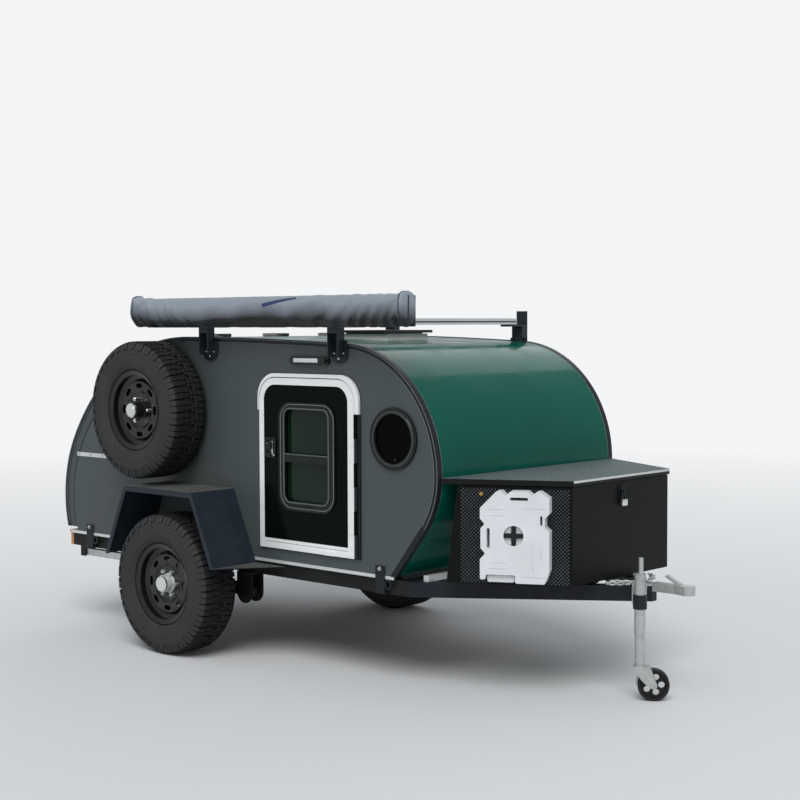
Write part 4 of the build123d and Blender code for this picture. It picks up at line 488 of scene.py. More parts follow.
PALE_BRIGHT = Coating("PaleAluminium", (0.66, 0.68, 0.68), 0.4, 0.06, 8.0, 500.0, 0.0001, metal=0.3,
                      slot="zinc")
ZINC = Galvanised("GalvanisedSteel", (0.56, 0.58, 0.57), 0.42, 0.08, 20.0, 400.0, 0.0001, metal=0.7,
                  slot="zinc")
CHROME = Coating("PolishedSteel", (0.78, 0.78, 0.77), 0.12, 0.04, 20.0, 200.0, 0.00005, metal=1.0, slot="zinc")
RUBBER = Coating("TyreRubber", (0.016, 0.016, 0.018), 0.75, 0.12, 6.0, 500.0, 0.0003, specular=0.15, dust=0.02)
SIDE_RUBBER = Coating("SideRubber", (0.042, 0.043, 0.044), 0.75, 0.12, 6.0, 500.0, 0.0003, specular=0.2)
DUSTY_TOP = Coating("DustyPaint", (0.100, 0.107, 0.106), 0.6, 0.35, 4.0, 300.0, 0.0002, specular=0.2, dust=0.3)
RING_GREY = Coating("RingGrey", (0.030, 0.036, 0.036), 0.3, 0.08, 12.0, 300.0, 0.0001, slot="grey_plastic")
SEAL = Coating("SealRubber", (0.012, 0.012, 0.013), 0.6, 0.15, 12.0, 400.0, 0.0001, specular=0.3, slot="rubber")
WHITE_TANK = Coating("MouldedWhite", (0.72, 0.74, 0.77), 0.5, 0.05, 7.0, 260.0, 0.0003, specular=0.4,
                     slot="white_plastic")
WHITE_VENT = Coating("VentWhite", (0.70, 0.70, 0.68), 0.45, 0.05, 7.0, 260.0, 0.0002)
BLACK_MOULD = Coating("MouldedBlack", (0.008, 0.009, 0.010), 0.4, 0.2, 12.0, 700.0, 0.0002, specular=0.3,
                      slot="black_plastic")
WINDOW_GREY = Coating("WindowFrame", (0.008, 0.011, 0.011), 0.3, 0.15, 12.0, 700.0, 0.0002, specular=0.25)
BEAD_GREY = Coating("GreyBead", (0.17, 0.20, 0.195), 0.4, 0.08, 12.0, 300.0, 0.0001, slot="grey_plastic")
FRAME_GREY = Coating("FrameBead", (0.095, 0.115, 0.112), 0.36, 0.08, 12.0, 300.0, 0.0001, slot="grey_plastic")
# Painted light from above: the near-black tone is painted shade on the bag's lower part, and the pale top tone
# is a painted highlight on its upper part.
BAG_CLOTH_PAINTED_LIGHT = Cloth("BagClothPaintedLight", (0.004, 0.006, 0.008), 0.36, 0.12, 2.5, 500.0, 0.0008, specular=0.35,
                  lit_top=(0.275, 0.316, 0.368), lit_from=1.820, lit_to=1.905, slot="pvc")
ZIP_NAVY = Cloth("ZipNavy", (0.006, 0.009, 0.028), 0.6, 0.15, 20.0, 500.0, 0.0003, slot="pvc")
STRAP_BLUE = Cloth("StrapBlue", (0.012, 0.030, 0.110), 0.6, 0.15, 20.0, 500.0, 0.0005, slot="pvc")
BASE_BLACK = Coating("BagBase", (0.007, 0.008, 0.009), 0.5, 0.2, 6.0, 400.0, 0.0002, slot="black_plastic")
PANE = Glass("TintedPane", (0.005, 0.018, 0.009), 0.06, 0.3, 1.5, 20.0, 0.00003, specular=0.2, clear=0.12)
PORT_PANE = Glass("DarkPane", (0.001, 0.001, 0.001), 0.06, 0.3, 2.0, 20.0, 0.00003, specular=0.03, clear=0.03)
BOARD = Timber("VarnishedBoard", (0.40, 0.27, 0.15), 0.4, 0.1, 3.0, 200.0, 0.0002)
BOX_BLACK = Coating("BoxBlack", (0.0045, 0.005, 0.005), 0.36, 0.2, 5.0, 500.0, 0.0002, specular=0.12)
# The tread bars are painted far paler than the box as a painted highlight, standing in for the glints on their
# glossy tops.
TREAD_PLATE_GLINT = Coating("TreadPlatePaintedGlint", (0.085, 0.095, 0.105), 0.26, 0.2, 8.0, 500.0, 0.0002, specular=0.8)
LID_GREY = Coating("LidGrain", (0.096, 0.124, 0.130), 0.55, 0.3, 60.0, 1200.0, 0.0009, specular=0.4)
BRASS = Coating("Brass", (0.62, 0.40, 0.14), 0.3, 0.1, 40.0, 300.0, 0.0001, metal=1.0, slot="zinc")
LENS_RED = Coating("LensRed", (0.32, 0.008, 0.008), 0.12, 0.1, 30.0, 60.0, 0.0006, coat=1.0)
LENS_AMBER = Coating("LensAmber", (0.55, 0.16, 0.01), 0.12, 0.1, 30.0, 60.0, 0.0006, coat=1.0)
# The porch lens's pale white is a painted reflection on a real lens.
LENS_WHITE_GLARE = Coating("LensPaintedReflection", (0.66, 0.69, 0.70), 0.15, 0.06, 30.0, 90.0, 0.0006, coat=1.0)
WALL = Zoned("WallAndLining", WALL_GREY.tone, WALL_GREY.rough, WALL_GREY.vary, WALL_GREY.patch, WALL_GREY.grain,
             WALL_GREY.depth, specular=0.35, other=LINING, zone=under("Y", LINING_FACE, True))
GREEN_SKIN = Zoned("GreenAndHinge", DEEP_GREEN.tone, DEEP_GREEN.rough, 0.1, 1.2, 40.0, 0.0002, specular=0.16,
                   other=BLACK_MOULD, zone=past("Z", HINGE_FOOT))
ROOF = Zoned("LiningAndGreen", LINING.tone, LINING.rough, 0.06, 1.2, 40.0, 0.0002, specular=0.16,
             other=GREEN_SKIN, zone=is_outer_skin)
HATCH = Zoned("CheekAndGreen", WALL_GREY.tone, WALL_GREY.rough, 0.06, 1.2, 60.0, 0.0002, specular=0.2,
              other=GREEN_SKIN, zone=is_hatch_skin)
TYRE = Zoned("TreadAndSidewall", RUBBER.tone, 0.75, 0.12, 6.0, 500.0, 0.0003, specular=0.15, other=SIDE_RUBBER,
             zone=facing("Y", TURNED), slot="tyre")
FENDER = Zoned("FenderPaint", (0.017, 0.025, 0.035), 0.4, 0.1, 5.0, 300.0, 0.0002, specular=0.2, dust=0.03,
               other=DUSTY_TOP, zone=facing("Z", LEVEL))
LID = Zoned("LipAndLid", BOX_BLACK.tone, 0.36, 0.2, 60.0, 1200.0, 0.0009, specular=0.2, other=LID_GREY,
            zone=past("Z", LID_LIP))
LEAF = Zoned("PanelAndRim", DOOR_BLACK.tone, DOOR_BLACK.rough, 0.2, 2.0, 60.0, 0.0001, specular=0.05,
             other=BRIGHT, zone=is_leaf_rim)
JAMB = Zoned("JambAndGutter", BLACK_MOULD.tone, BLACK_MOULD.rough, 0.2, 4.0, 300.0, 0.0001,
             other=BRIGHT, zone=is_gutter)
PORCH = Zoned("BezelAndLensGlare", BOX_BLACK.tone, 0.25, 0.2, 12.0, 200.0, 0.0001, other=LENS_WHITE_GLARE,
              zone=is_lamp_lens)
VENT = Zoned("VentBaseAndLid", WHITE_VENT.tone, 0.45, 0.05, 7.0, 260.0, 0.0002, other=BLACK_MOULD,
             zone=past("Z", VENT_NECK))
FLOOR = Zoned("BoardAndSealedFoot", BOARD.tone, BOARD.rough, 0.2, 3.0, 200.0, 0.0002, other=STEEL_BLACK,
              zone=under("Z", FLOOR_FACE))
TAIL = Zoned("TailLens", LENS_RED.tone, 0.12, 0.1, 30.0, 60.0, 0.0006, coat=1.0, other=LENS_AMBER,
             zone=past("Y", LAMP_SPLIT, True))

NODE_FINISHES: dict[str, Coating] = {
    "side_wall": WALL, "roof_skin": ROOF, "hatch_shell": HATCH, "door_leaf": LEAF, "door_frame": JAMB,
    "porch_lights": PORCH, "roof_vent": VENT, "tail_lamps": TAIL, "window_frame": WINDOW_GREY,
    "window_glass": PANE, "porthole_glass": PORT_PANE, "porthole_rings": BLACK_MOULD,
    "door_handle": BLACK_MOULD, "hatch_handle": BLACK_MOULD, "container_mount": BLACK_MOULD,
    "water_container": WHITE_TANK, "galley": BOARD, "floor_panel": FLOOR, "toolbox_lid": LID,
    "toolbox": BOX_BLACK, "crossbars": PALE_BRIGHT, "sill_strips": PALE_BRIGHT, "tongue_bar": PALE_BRIGHT,
    "coupler": ZINC, "jack_tube": ZINC, "jack_inner": ZINC, "jack_fork": ZINC, "jack_bracket": ZINC,
    "safety_chains": ZINC, "stabiliser": ZINC, "tie_brackets": STEEL_BLACK, "hub": ZINC,
    "rim": WHEEL_BLACK, "spare_rim": WHEEL_BLACK, "spare_mount": CHROME, "rubber_springs": SEAL,
    "jack_wheel": SEAL, "tyre": TYRE, "spare_tyre": TYRE, "main_rails": RAIL_PAINT,
    "cross_members": RAIL_PAINT, "tongue_arms": STEEL_BLACK, "awning_bag": BAG_CLOTH_PAINTED_LIGHT,
    "fender": FENDER, "rack_brackets": RACK_PAINT,
}


class Bench:
    """Modelling steps with Blender's own operators, one piece at a time."""

    @staticmethod
    def clear() -> None:
        """Leave edit mode and select nothing."""
        if bpy.context.object and bpy.context.object.mode != "OBJECT":
            bpy.ops.object.mode_set(mode="OBJECT")
        bpy.ops.object.select_all(action="DESELECT")

    @staticmethod
    @contextmanager
    def editing(everything: bool = True) -> Iterator[None]:
        """Edit the active piece, with all of it selected, or what was selected before."""
        bpy.ops.object.mode_set(mode="EDIT")
        if everything:
            bpy.ops.mesh.select_all(action="SELECT")
        yield
        bpy.ops.object.mode_set(mode="OBJECT")

    @staticmethod
    def freeze() -> None:
        """Leave the active piece at the origin, unturned and unscaled."""
        bpy.ops.object.transform_apply(location=True, rotation=True, scale=True)

    @classmethod
    def modify(cls, item: bpy.types.Object, kind: str, **settings: object) -> None:
        """Give a piece a modifier with some settings, and apply it."""
        cls.pick(item)
        modifier = item.modifiers.new(kind.title(), kind)
        for key, value in settings.items():
            setattr(modifier, key, value)
        bpy.ops.object.modifier_apply(modifier=modifier.name)

    @classmethod
    def pick(cls, *objects: bpy.types.Object) -> bpy.types.Object:
        """Select some objects and make the first one active."""
        cls.clear()
        for item in objects:
            item.select_set(True)
        bpy.context.view_layer.objects.active = objects[0]
        return objects[0]

    @classmethod
    def trace(cls, points: Points, closed: bool = False) -> bpy.types.Object:
        """Draw a line of edges by extruding one vertex from point to point.

        Args:
            points: The points in order.
            closed: Whether the last joins the first and the loop is filled.

        Returns:
            The object, in object mode, with all of it selected.
        """
        cls.clear()
        bpy.ops.mesh.primitive_plane_add(size=0.01, location=points[0])
        drawn = bpy.context.object
        with cls.editing():
            bpy.ops.mesh.merge(type="CENTER")
            for start, stop in zip(points, points[1:]):
                bpy.ops.mesh.extrude_region_move(TRANSFORM_OT_translate={"value": stop - start})
            bpy.ops.mesh.select_all(action="SELECT")
            if closed:
                bpy.ops.mesh.edge_face_add()
        cls.freeze()
        return drawn

    @classmethod
    def plate(cls, points: Points, depth: Vector, bevel: float = 0.0) -> bpy.types.Object:
        """Fill an outline and extrude it.

        Args:
            points: The outline.
            depth: The way and distance to extrude.
            bevel: Width of the bevel on its sharp edges.

        Returns:
            The object.
        """
        drawn = cls.trace(points, closed=True)
        with cls.editing():
            bpy.ops.mesh.extrude_region_move(TRANSFORM_OT_translate={"value": depth})
            cls.outward()
        if bevel:
            cls.soften(drawn, bevel)
        return drawn

    @classmethod
    def outward(cls) -> None:
        """Merge doubles of the piece in edit mode, and turn its faces outwards."""
        bpy.ops.mesh.select_all(action="SELECT")
        bpy.ops.mesh.remove_doubles(threshold=0.00001)
        bpy.ops.mesh.normals_make_consistent(inside=False)

    @classmethod
    def soften(cls, item: bpy.types.Object, width: float, segments: int = 2) -> None:
        """Bevel the sharp edges of a piece."""
        cls.modify(item, "BEVEL", width=width, segments=segments, limit_method="ANGLE")

    @classmethod
    def box(cls, low: Vector, high: Vector, bevel: float = 0.001) -> bpy.types.Object:
        """A block between two corners, with its edges bevelled."""
        cls.clear()
        bpy.ops.mesh.primitive_cube_add(size=1.0, location=(low + high) / 2, scale=high - low)
        block = bpy.context.object
        Bench.freeze()
        cls.soften(block, bevel)
        return block

    @classmethod
    def block(cls, first: Vector, second: Vector, bevel: float) -> bpy.types.Object:
        """A box between two opposite corners in any order."""
        return cls.box(Vector(map(min, first, second)), Vector(map(max, first, second)), bevel)

    @classmethod
    def rod(cls, start: Vector, stop: Vector, radius: float, sides: int = 24,
            bevel: float = 0.0005) -> bpy.types.Object:
        """A round or many-sided bar between two points, with its ends bevelled.

        Args:
            start: Middle of the first end.
            stop: Middle of the second end.
            radius: Its radius.
            sides: How many sides it has.
            bevel: Width of the bevel.

        Returns:
            The object.
        """
        cls.clear()
        way = stop - start
        turn = way.to_track_quat("Z", "Y").to_euler()
        bpy.ops.mesh.primitive_cylinder_add(
            vertices=sides, radius=radius, depth=way.length, location=(start + stop) / 2, rotation=turn)
        bar = bpy.context.object
        Bench.freeze()
        cls.soften(bar, bevel)
        return bar

    @classmethod
    def lathe(cls, profile: Points, centre: Vector, axis: Vector, steps: int) -> bpy.types.Object:
        """Spin a line of points about an axis.

        Args:
            profile: The line to spin.
            centre: A point on the axis.
            axis: The axis's direction.
            steps: How many steps make the full turn.

        Returns:
            The object.
        """
        drawn = cls.trace(profile)
        with cls.editing():
            bpy.ops.mesh.spin(steps=steps, angle=math.tau, center=centre, axis=axis)
            cls.outward()
        return drawn

    @classmethod
    def around(cls, item: bpy.types.Object, count: int, centre: Vector, axis: Vector) -> bpy.types.Object:
        """Repeat a piece evenly about an axis, within one mesh."""
        cls.pick(item)
        angle = math.tau * ((count - 1) / count)
        with cls.editing():
            bpy.ops.mesh.spin(steps=count - 1, dupli=True, angle=angle, center=centre, axis=axis)
        return item

    @classmethod
    def bead(cls, points: Points, radius: float, closed: bool = False, sides: int = 2) -> bpy.types.Object:
        """Run a round bead along a line of points.

        Args:
            points: The line.
            radius: The bead's radius.
            closed: Whether the line is a loop.
            sides: Resolution of its section.

        Returns:
            The object.
        """
        drawn = cls.trace(list(points) + ([points[0]] if closed else []))
        with cls.editing():
            bpy.ops.mesh.remove_doubles(threshold=0.00001)
        bpy.ops.object.convert(target="CURVE")
        drawn.data.bevel_depth = radius
        drawn.data.bevel_resolution = sides
        drawn.data.use_fill_caps = not closed
        bpy.ops.object.convert(target="MESH")
        return bpy.context.object

    @classmethod
    def join(cls, *items: bpy.types.Object) -> bpy.types.Object:
        """Make one mesh of several pieces."""
        cls.pick(*items)
        if len(items) > 1:
            bpy.ops.object.join()
        return items[0]

    @classmethod
    def copy(cls, item: bpy.types.Object, place: Matrix) -> bpy.types.Object:
        """Copy a piece with its own mesh, moved by a matrix."""
        cls.pick(item)
        bpy.ops.object.duplicate()
        twin = bpy.context.object
        twin.matrix_world = place @ twin.matrix_world
        Bench.freeze()
        return twin

    @classmethod
    def scatter(cls, item: bpy.types.Object, places: Iterable[Matrix]) -> bpy.types.Object:
        """Put a copy of a piece at each place, delete the first, and join the copies."""
        copies = [cls.copy(item, place) for place in places]
        cls.pick(item)
        bpy.ops.object.delete()
        return cls.join(*copies)

    @classmethod
    def mirrored(cls, item: bpy.types.Object) -> bpy.types.Object:
        """A copy of a piece on the other side, with its faces turned back outwards."""
        twin = cls.copy(item, Matrix.Diagonal((1, -1, 1, 1)))
        with cls.editing():
            bpy.ops.mesh.normals_make_consistent(inside=False)
        return twin

    @classmethod
    def done(cls, item: bpy.types.Object, name: str, finish: Coating, body: str = "chassis", slot: str = "",
             stands_for: Sequence[str] = (), angle: float = 35.0) -> bpy.types.Object:
        """Name, smooth and paint a finished piece, and let it ride on its body.

        Args:
            item: The piece.
            name: Its name.
            finish: Its finish.
            body: The body that it rides on.
            slot: Not used.
            stands_for: CAD nodes that it replaces.
            angle: Edges sharper than this stay sharp, in degrees.

        Returns:
            The piece.
        """
        cls.pick(item)
        bpy.ops.object.shade_smooth_by_angle(angle=math.radians(angle))
        item.name = name
        item.data.name = name
        item.data.materials.clear()
        item.data.materials.append(finish.material())
        if stands_for:
            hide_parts(*stands_for)
        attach(item, body)
        LOG.info("%s rides on %s: %d faces", name, body, len(item.data.polygons))
        return item


def face_on(origin: Vector, out: Vector) -> Matrix:
    """A placing matrix whose Z looks out of a surface.

    Args:
        origin: The point on the surface.
        out: The way that the surface looks.

    Returns:
        The matrix.
    """
    return Matrix.Translation(origin) @ out.to_track_quat("Z", "Y").to_matrix().to_4x4()


def rounded_loop(x0: float, x1: float, z0: float, z1: float, radii: Sequence[float], y: float,
                 steps: int = 6) -> list[Vector]:
    """A rectangle in X and Z with rounded corners.

    Args:
        x0: Rear end in millimetres from the axle.
        x1: Front end.
        z0: Foot.
        z1: Head.
        radii: Corner radii at rear foot, front foot, front head and rear head.
        y: Where it lies across the trailer.
        steps: Points to a corner.

    Returns:
        The loop's points.
    """
    corners = ((x0, z0, 1, 1, 180.0), (x1, z0, -1, 1, 270.0), (x1, z1, -1, -1, 0.0), (x0, z1, 1, -1, 90.0))
    loop = []
    for (x, z, in_x, in_z, turn), radius in zip(corners, radii):
        for step in range(steps + 1 if radius > 1.0 else 1):
            angle = math.radians(turn + 90.0 * step / steps)
            centre_x, centre_z = x + in_x * radius, z + in_z * radius
            loop.append(at(centre_x + radius * math.cos(angle), y, centre_z + radius * math.sin(angle)))
    return loop


@dataclass
class Finishes:
    """Gives every CAD node that stays its finish."""

    table: dict[str, Coating]

    def apply(self) -> None:
        """Assign a finish to the material slots of each node."""
        for name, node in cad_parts.items():
            key = name.removesuffix("_right").removesuffix("_left")
            finish = self.table.get(name) or self.table.get(key, STEEL_BLACK)
            if not node.material_slots:
                node.data.materials.append(None)
            for place in node.material_slots:
                place.material = finish.material()
        LOG.info("finishes on %d nodes", len(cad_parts))


@dataclass
class Studio:
    """Pale floor, soft light and the camera at the photograph's angle."""

    focal: float = 1536.5444
    yaw: float = 42.4308
    pitch: float = 2.8429
    roll: float = -0.18798
    stand: tuple[float, float, float] = (6595.168, -6281.664, 1804.831)
    image: float = 800.0
    sensor: float = 36.0
    ambient: float = 0.5
    key: float = 1.7
    fill: float = 0.25

    def camera(self) -> None:
        """Create the camera from the solved view."""
        yaw, pitch, roll = (math.radians(v) for v in (self.yaw, self.pitch, self.roll))
        ahead = Vector((-math.sin(yaw) * math.cos(pitch), math.cos(yaw) * math.cos(pitch), -math.sin(pitch)))
        level = Vector((math.cos(yaw), math.sin(yaw), 0.0))
        upright = level.cross(ahead)
        right = level * math.cos(roll) + upright * math.sin(roll)
        up = upright * math.cos(roll) - level * math.sin(roll)
        bpy.ops.object.camera_add()
        camera = bpy.context.object
        camera.data.sensor_width = self.sensor
        camera.data.lens = self.focal * self.sensor / self.image
        camera.data.clip_end = 200.0
        turn = Matrix((right, up, -ahead)).transposed().to_4x4()
        camera.matrix_world = Matrix.Translation(at(*self.stand)) @ turn
        bpy.context.scene.camera = camera

    def world(self) -> None:
        """Soft light from all round, and a pale background where the camera looks past the floor."""
        world = bpy.data.worlds.new("Studio")
        bpy.context.scene.world = world
        world.use_nodes = True
        nodes, links = world.node_tree.nodes, world.node_tree.links
        light = nodes["Background"]
        light.inputs["Color"].default_value = (0.94, 0.97, 1.0, 1.0)
        light.inputs["Strength"].default_value = self.ambient
        pale = nodes.new("ShaderNodeBackground")
        pale.inputs["Color"].default_value = (0.90, 0.91, 0.92, 1.0)
        path = nodes.new("ShaderNodeLightPath")
        seen = nodes.new("ShaderNodeMath")
        seen.operation = "MAXIMUM"
        links.new(path.outputs["Is Camera Ray"], seen.inputs[0])
        links.new(path.outputs["Is Transmission Ray"], seen.inputs[1])
        mix = nodes.new("ShaderNodeMixShader")
        links.new(seen.outputs[0], mix.inputs[0])
        links.new(light.outputs[0], mix.inputs[1])
        links.new(pale.outputs[0], mix.inputs[2])
        links.new(mix.outputs[0], nodes["World Output"].inputs[0])

    def lamps(self) -> None:
        """A broad key light from the front right, and a weak one from behind."""
        for name, strength, turn in (("Key", self.key, (38, 14, 20)), ("Fill", self.fill, (-50, -20, 10))):
            bpy.ops.object.light_add(type="SUN", rotation=[math.radians(v) for v in turn])
            lamp = bpy.context.object
            lamp.name = name
            lamp.data.energy = strength
            lamp.data.angle = math.radians(35.0)

    def floor(self) -> None:
        """A pale floor that fades into the background far from the trailer."""
        Bench.clear()
        bpy.ops.mesh.primitive_grid_add(x_subdivisions=8, y_subdivisions=8, size=120.0)
        floor = bpy.context.object
        floor.name = "floor"
        wiring = Wiring("StudioFloor")
        grain = wiring.spread(wiring.noise(60.0, 6.0), 0.0, 1.0)
        tone = wiring.blend(grain, (0.70, 0.71, 0.72), (0.74, 0.75, 0.76))
        wiring.feed(wiring.shader.inputs["Base Color"], tone)
        wiring.shader.inputs["Roughness"].default_value = 0.9
        wiring.shader.inputs["Specular IOR Level"].default_value = 0.1
        glow = wiring.node("ShaderNodeEmission", {"Color": (0.90, 0.91, 0.92, 1.0)})
        reach = wiring.node("ShaderNodeVectorMath", {0: wiring.place}, operation="LENGTH")
        fade = wiring.spread(reach.outputs["Value"], 0.0, 1.0, 3.0, 14.0)
        rays = wiring.node("ShaderNodeLightPath")
        share = wiring.sum("MULTIPLY", fade, rays.outputs["Is Camera Ray"])
        mix = wiring.node("ShaderNodeMixShader", {0: share, 1: wiring.shader.outputs[0], 2: glow.outputs[0]})
        output = wiring.tree.nodes["Material Output"]
        wiring.feed(output.inputs["Surface"], mix.outputs[0])
        floor.data.materials.append(wiring.material)

    def build(self) -> None:
        """Set up the whole studio."""
        bpy.context.scene.view_settings.view_transform = "Standard"
        self.camera()
        self.world()
        self.lamps()
        self.floor()


@dataclass
class Tyre:
    """An all-terrain tyre: a carcass, sidewall ribs, shoulder lugs and staggered tread blocks."""

    node: str
    body: str
    name: str
    radius: float = 387.0
    half: float = 122.5
    floor: float = 372.0
    pitches: int = 34
    steps: int = 102

    def __post_init__(self) -> None:
        """Take the wheel's middle from its CAD node."""
        low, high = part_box(self.node)
        self.centre = (low + high) / 2

    def spot(self, radius: float, across: float, along: float = 0.0) -> Vector:
        """A point at the top of the tyre.

        Args:
            radius: Distance from the axle in millimetres.
            across: Distance from the tyre's middle towards positive Y.
            along: Distance along the tread.

        Returns:
            The point in the scene.
        """
        turn = along / self.radius
        return self.centre + Vector((radius * math.sin(turn), across, radius * math.cos(turn))) / 1000

    def carcass(self) -> bpy.types.Object:
        """Spin the tyre's section, with ribs on its sidewalls."""
        half = [
            (214, 88), (224, 93), (225.5, 101), (229, 106), (238, 112.5), (244, 112.5), (250, 117), (262, 119.5),
            (285, 121.6), (300, 122.2), (303, 120.8), (306, 120.8), (309, 122.3), (322, 121.6), (334, 118.0),
            (350, 111.5), (362, 103), (370, 93), (self.floor, 84), (self.floor, 40), (self.floor, 0)]
        section = [self.spot(r, -y) for r, y in half] + [self.spot(r, y) for r, y in half[-2::-1]]
        section += [self.spot(207, 80), self.spot(206, 0), self.spot(207, -80), section[0]]
        return Bench.lathe(section, self.centre, CROSSWISE, self.steps)

    def lug(self, sign: int, start: float, stop: float, reach: float) -> bpy.types.Object:
        """One shoulder lug that wraps from the tread on to the sidewall.

        Args:
            sign: Which side it is on.
            start: Where it starts along the tread.
            stop: Where it ends.
            reach: How far down the sidewall it runs, as a radius.

        Returns:
            The lug.
        """
        top = self.radius - 1.6
        section = [(top, 62), (top - 1, 86), (top - 5, 96), (372, 108), (358, 115.5), (reach, 120.8),
                   (reach, 116), (350, 108), (368, 90), (self.floor - 3, 62)]
        points = [self.spot(r, sign * y, start) for r, y in section]
        return Bench.plate(points, self.spot(top, 0, stop) - self.spot(top, 0, start))

    def block(self, outline: Sequence[tuple[float, float]]) -> bpy.types.Object:
        """One tread block with a slightly smaller top.

        Args:
            outline: Its corners, as distances across and along the tread.

        Returns:
            The block.
        """
        points = [self.spot(self.floor - 2, across, along) for across, along in outline]
        block = Bench.trace(points, closed=True)
        middle = sum(points, Vector()) / len(points)
        up = Vector((middle.x - self.centre.x, 0, middle.z - self.centre.z)).normalized()
        rise = up * (self.radius - 2.0 - self.floor + 2) / 1000
        with Bench.editing():
            bpy.ops.mesh.extrude_region_move(TRANSFORM_OT_translate={"value": rise})
            bpy.ops.transform.resize(value=(0.90, 0.90, 0.90), center_override=middle + rise)
            Bench.outward()
        return block

    def pitch(self) -> bpy.types.Object:
        """The blocks and lugs of one pitch of the tread."""
        length = math.tau * self.radius / self.pitches
        gap = 0.15 * length
        edge = length / 2
        pieces = []
        for sign, shift in ((-1, 0.0), (1, 0.5)):
            start = -edge + shift * length / 2
            middle = start + length / 2
            pieces.append(self.lug(sign, start + gap / 2, middle - gap / 4, 330.0))
            pieces.append(self.lug(sign, middle + gap / 4, start + length - gap / 2, 344.0))
            for near, far, skew in ((4, 30, 12), (33, 59, -11)):
                low, high = start + gap / 2, start + length - gap
                split = (low + high) / 2
                pieces.append(self.block([
                    (sign * near, low + skew), (sign * far, low), (sign * far, split - 2),
                    (sign * near, split - 1)]))
                pieces.append(self.block([
                    (sign * near, split + 2), (sign * far, split + 1), (sign * (far - 4), high),
                    (sign * near, high - skew)]))
        return Bench.join(*pieces)

    def build(self) -> None:
        """Model the tyre and let it stand for its CAD node."""
        tread = Bench.around(self.pitch(), self.pitches, self.centre, CROSSWISE)
        tyre = Bench.join(self.carcass(), tread)
        Bench.done(tyre, self.name, TYRE, self.body, stands_for=(self.node,), angle=30.0)


@dataclass
class HubCap:
    """The long barrel and end cap over a wheel's hub, outboard of its disc."""

    node: str
    body: str
    name: str
    out: Vector
    root: float
    tip: float
    barrel: Coating
    radius: float = 0.047

    def spot(self, along: float, radius: float) -> Vector:
        """A point by distance outboard of the rim's middle and distance from its axis."""
        low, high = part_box(self.node)
        return (low + high) / 2 + self.out * along + Vector((0, 0, radius))

    def turned(self, section: Sequence[tuple[float, float]]) -> bpy.types.Object:
        """Spin a section given as distance outboard and radius."""
        points = [self.spot(*pair) for pair in section]
        return Bench.lathe(points, self.spot(0.0, 0.0), CROSSWISE, 48)

    def build(self) -> None:
        """Turn the barrel and the cap."""
        r, root, tip = self.radius, self.root, self.tip
        barrel = self.turned([
            (root, 0.030), (root, r + 0.007), (root + 0.005, r + 0.006), (root + 0.008, r + 0.001),
            (tip - 0.014, r), (tip - 0.013, r - 0.003), (tip - 0.014, 0.030), (root, 0.030)])
        Bench.done(barrel, f"{self.name}_barrel", self.barrel, self.body, "zinc")
        cap = self.turned([
            (tip - 0.013, 0.00001), (tip - 0.013, r - 0.002), (tip - 0.003, r - 0.0025), (tip, r - 0.006),
            (tip - 0.0005, r - 0.009), (tip - 0.002, r - 0.011), (tip - 0.002, 0.00001)])
        Bench.done(cap, f"{self.name}_cap", CHROME, self.body)


@dataclass
class RackDress:
    """Broad mounting plates with rounded feet at the foot of each rack bracket."""

    half: float = 60.0
    foot: float = 1606.0
    head: float = 1722.0

    def build(self) -> None:
        """Lay a plate on the wall at each bracket."""
        plates = []
        for side in Side:
            for x in RACK_PLATES:
                y = side.value * 736.4
                ring = rounded_loop(x - self.half, x + self.half, self.foot, self.head, (52, 52, 2, 2), y, 10)
                plates.append(Bench.plate(ring, side.out * 0.004, 0.001))
        Bench.done(Bench.join(*plates), "rack_plates", STEEL_BLACK)


@dataclass(frozen=True)
class Fold:
    """One slack fold pressed into the bag's front: a ridge with a valley beside it."""

    x: float
    z: float
    lean: float
    width: float
    depth: float
    length: float

    def height(self, x: float, z: float) -> float:
        """How far the fold lifts the cloth at a place.

        Args:
            x: Distance ahead of the axle in millimetres.
            z: Height above the ground.

        Returns:
            The lift in millimetres, below nought in the valley.
        """
        lean = math.radians(self.lean)
        dx, dz = x - self.x, z - self.z
        across = dx * math.sin(lean) - dz * math.cos(lean)
        along = dx * math.cos(lean) + dz * math.sin(lean)
        fade = math.exp(-((along / self.length) ** 2))
        ridge = math.exp(-((across / self.width) ** 2))
        valley = math.exp(-(((across - 1.5 * self.width) / self.width) ** 2))
        return self.depth * fade * (ridge - 0.9 * valley)


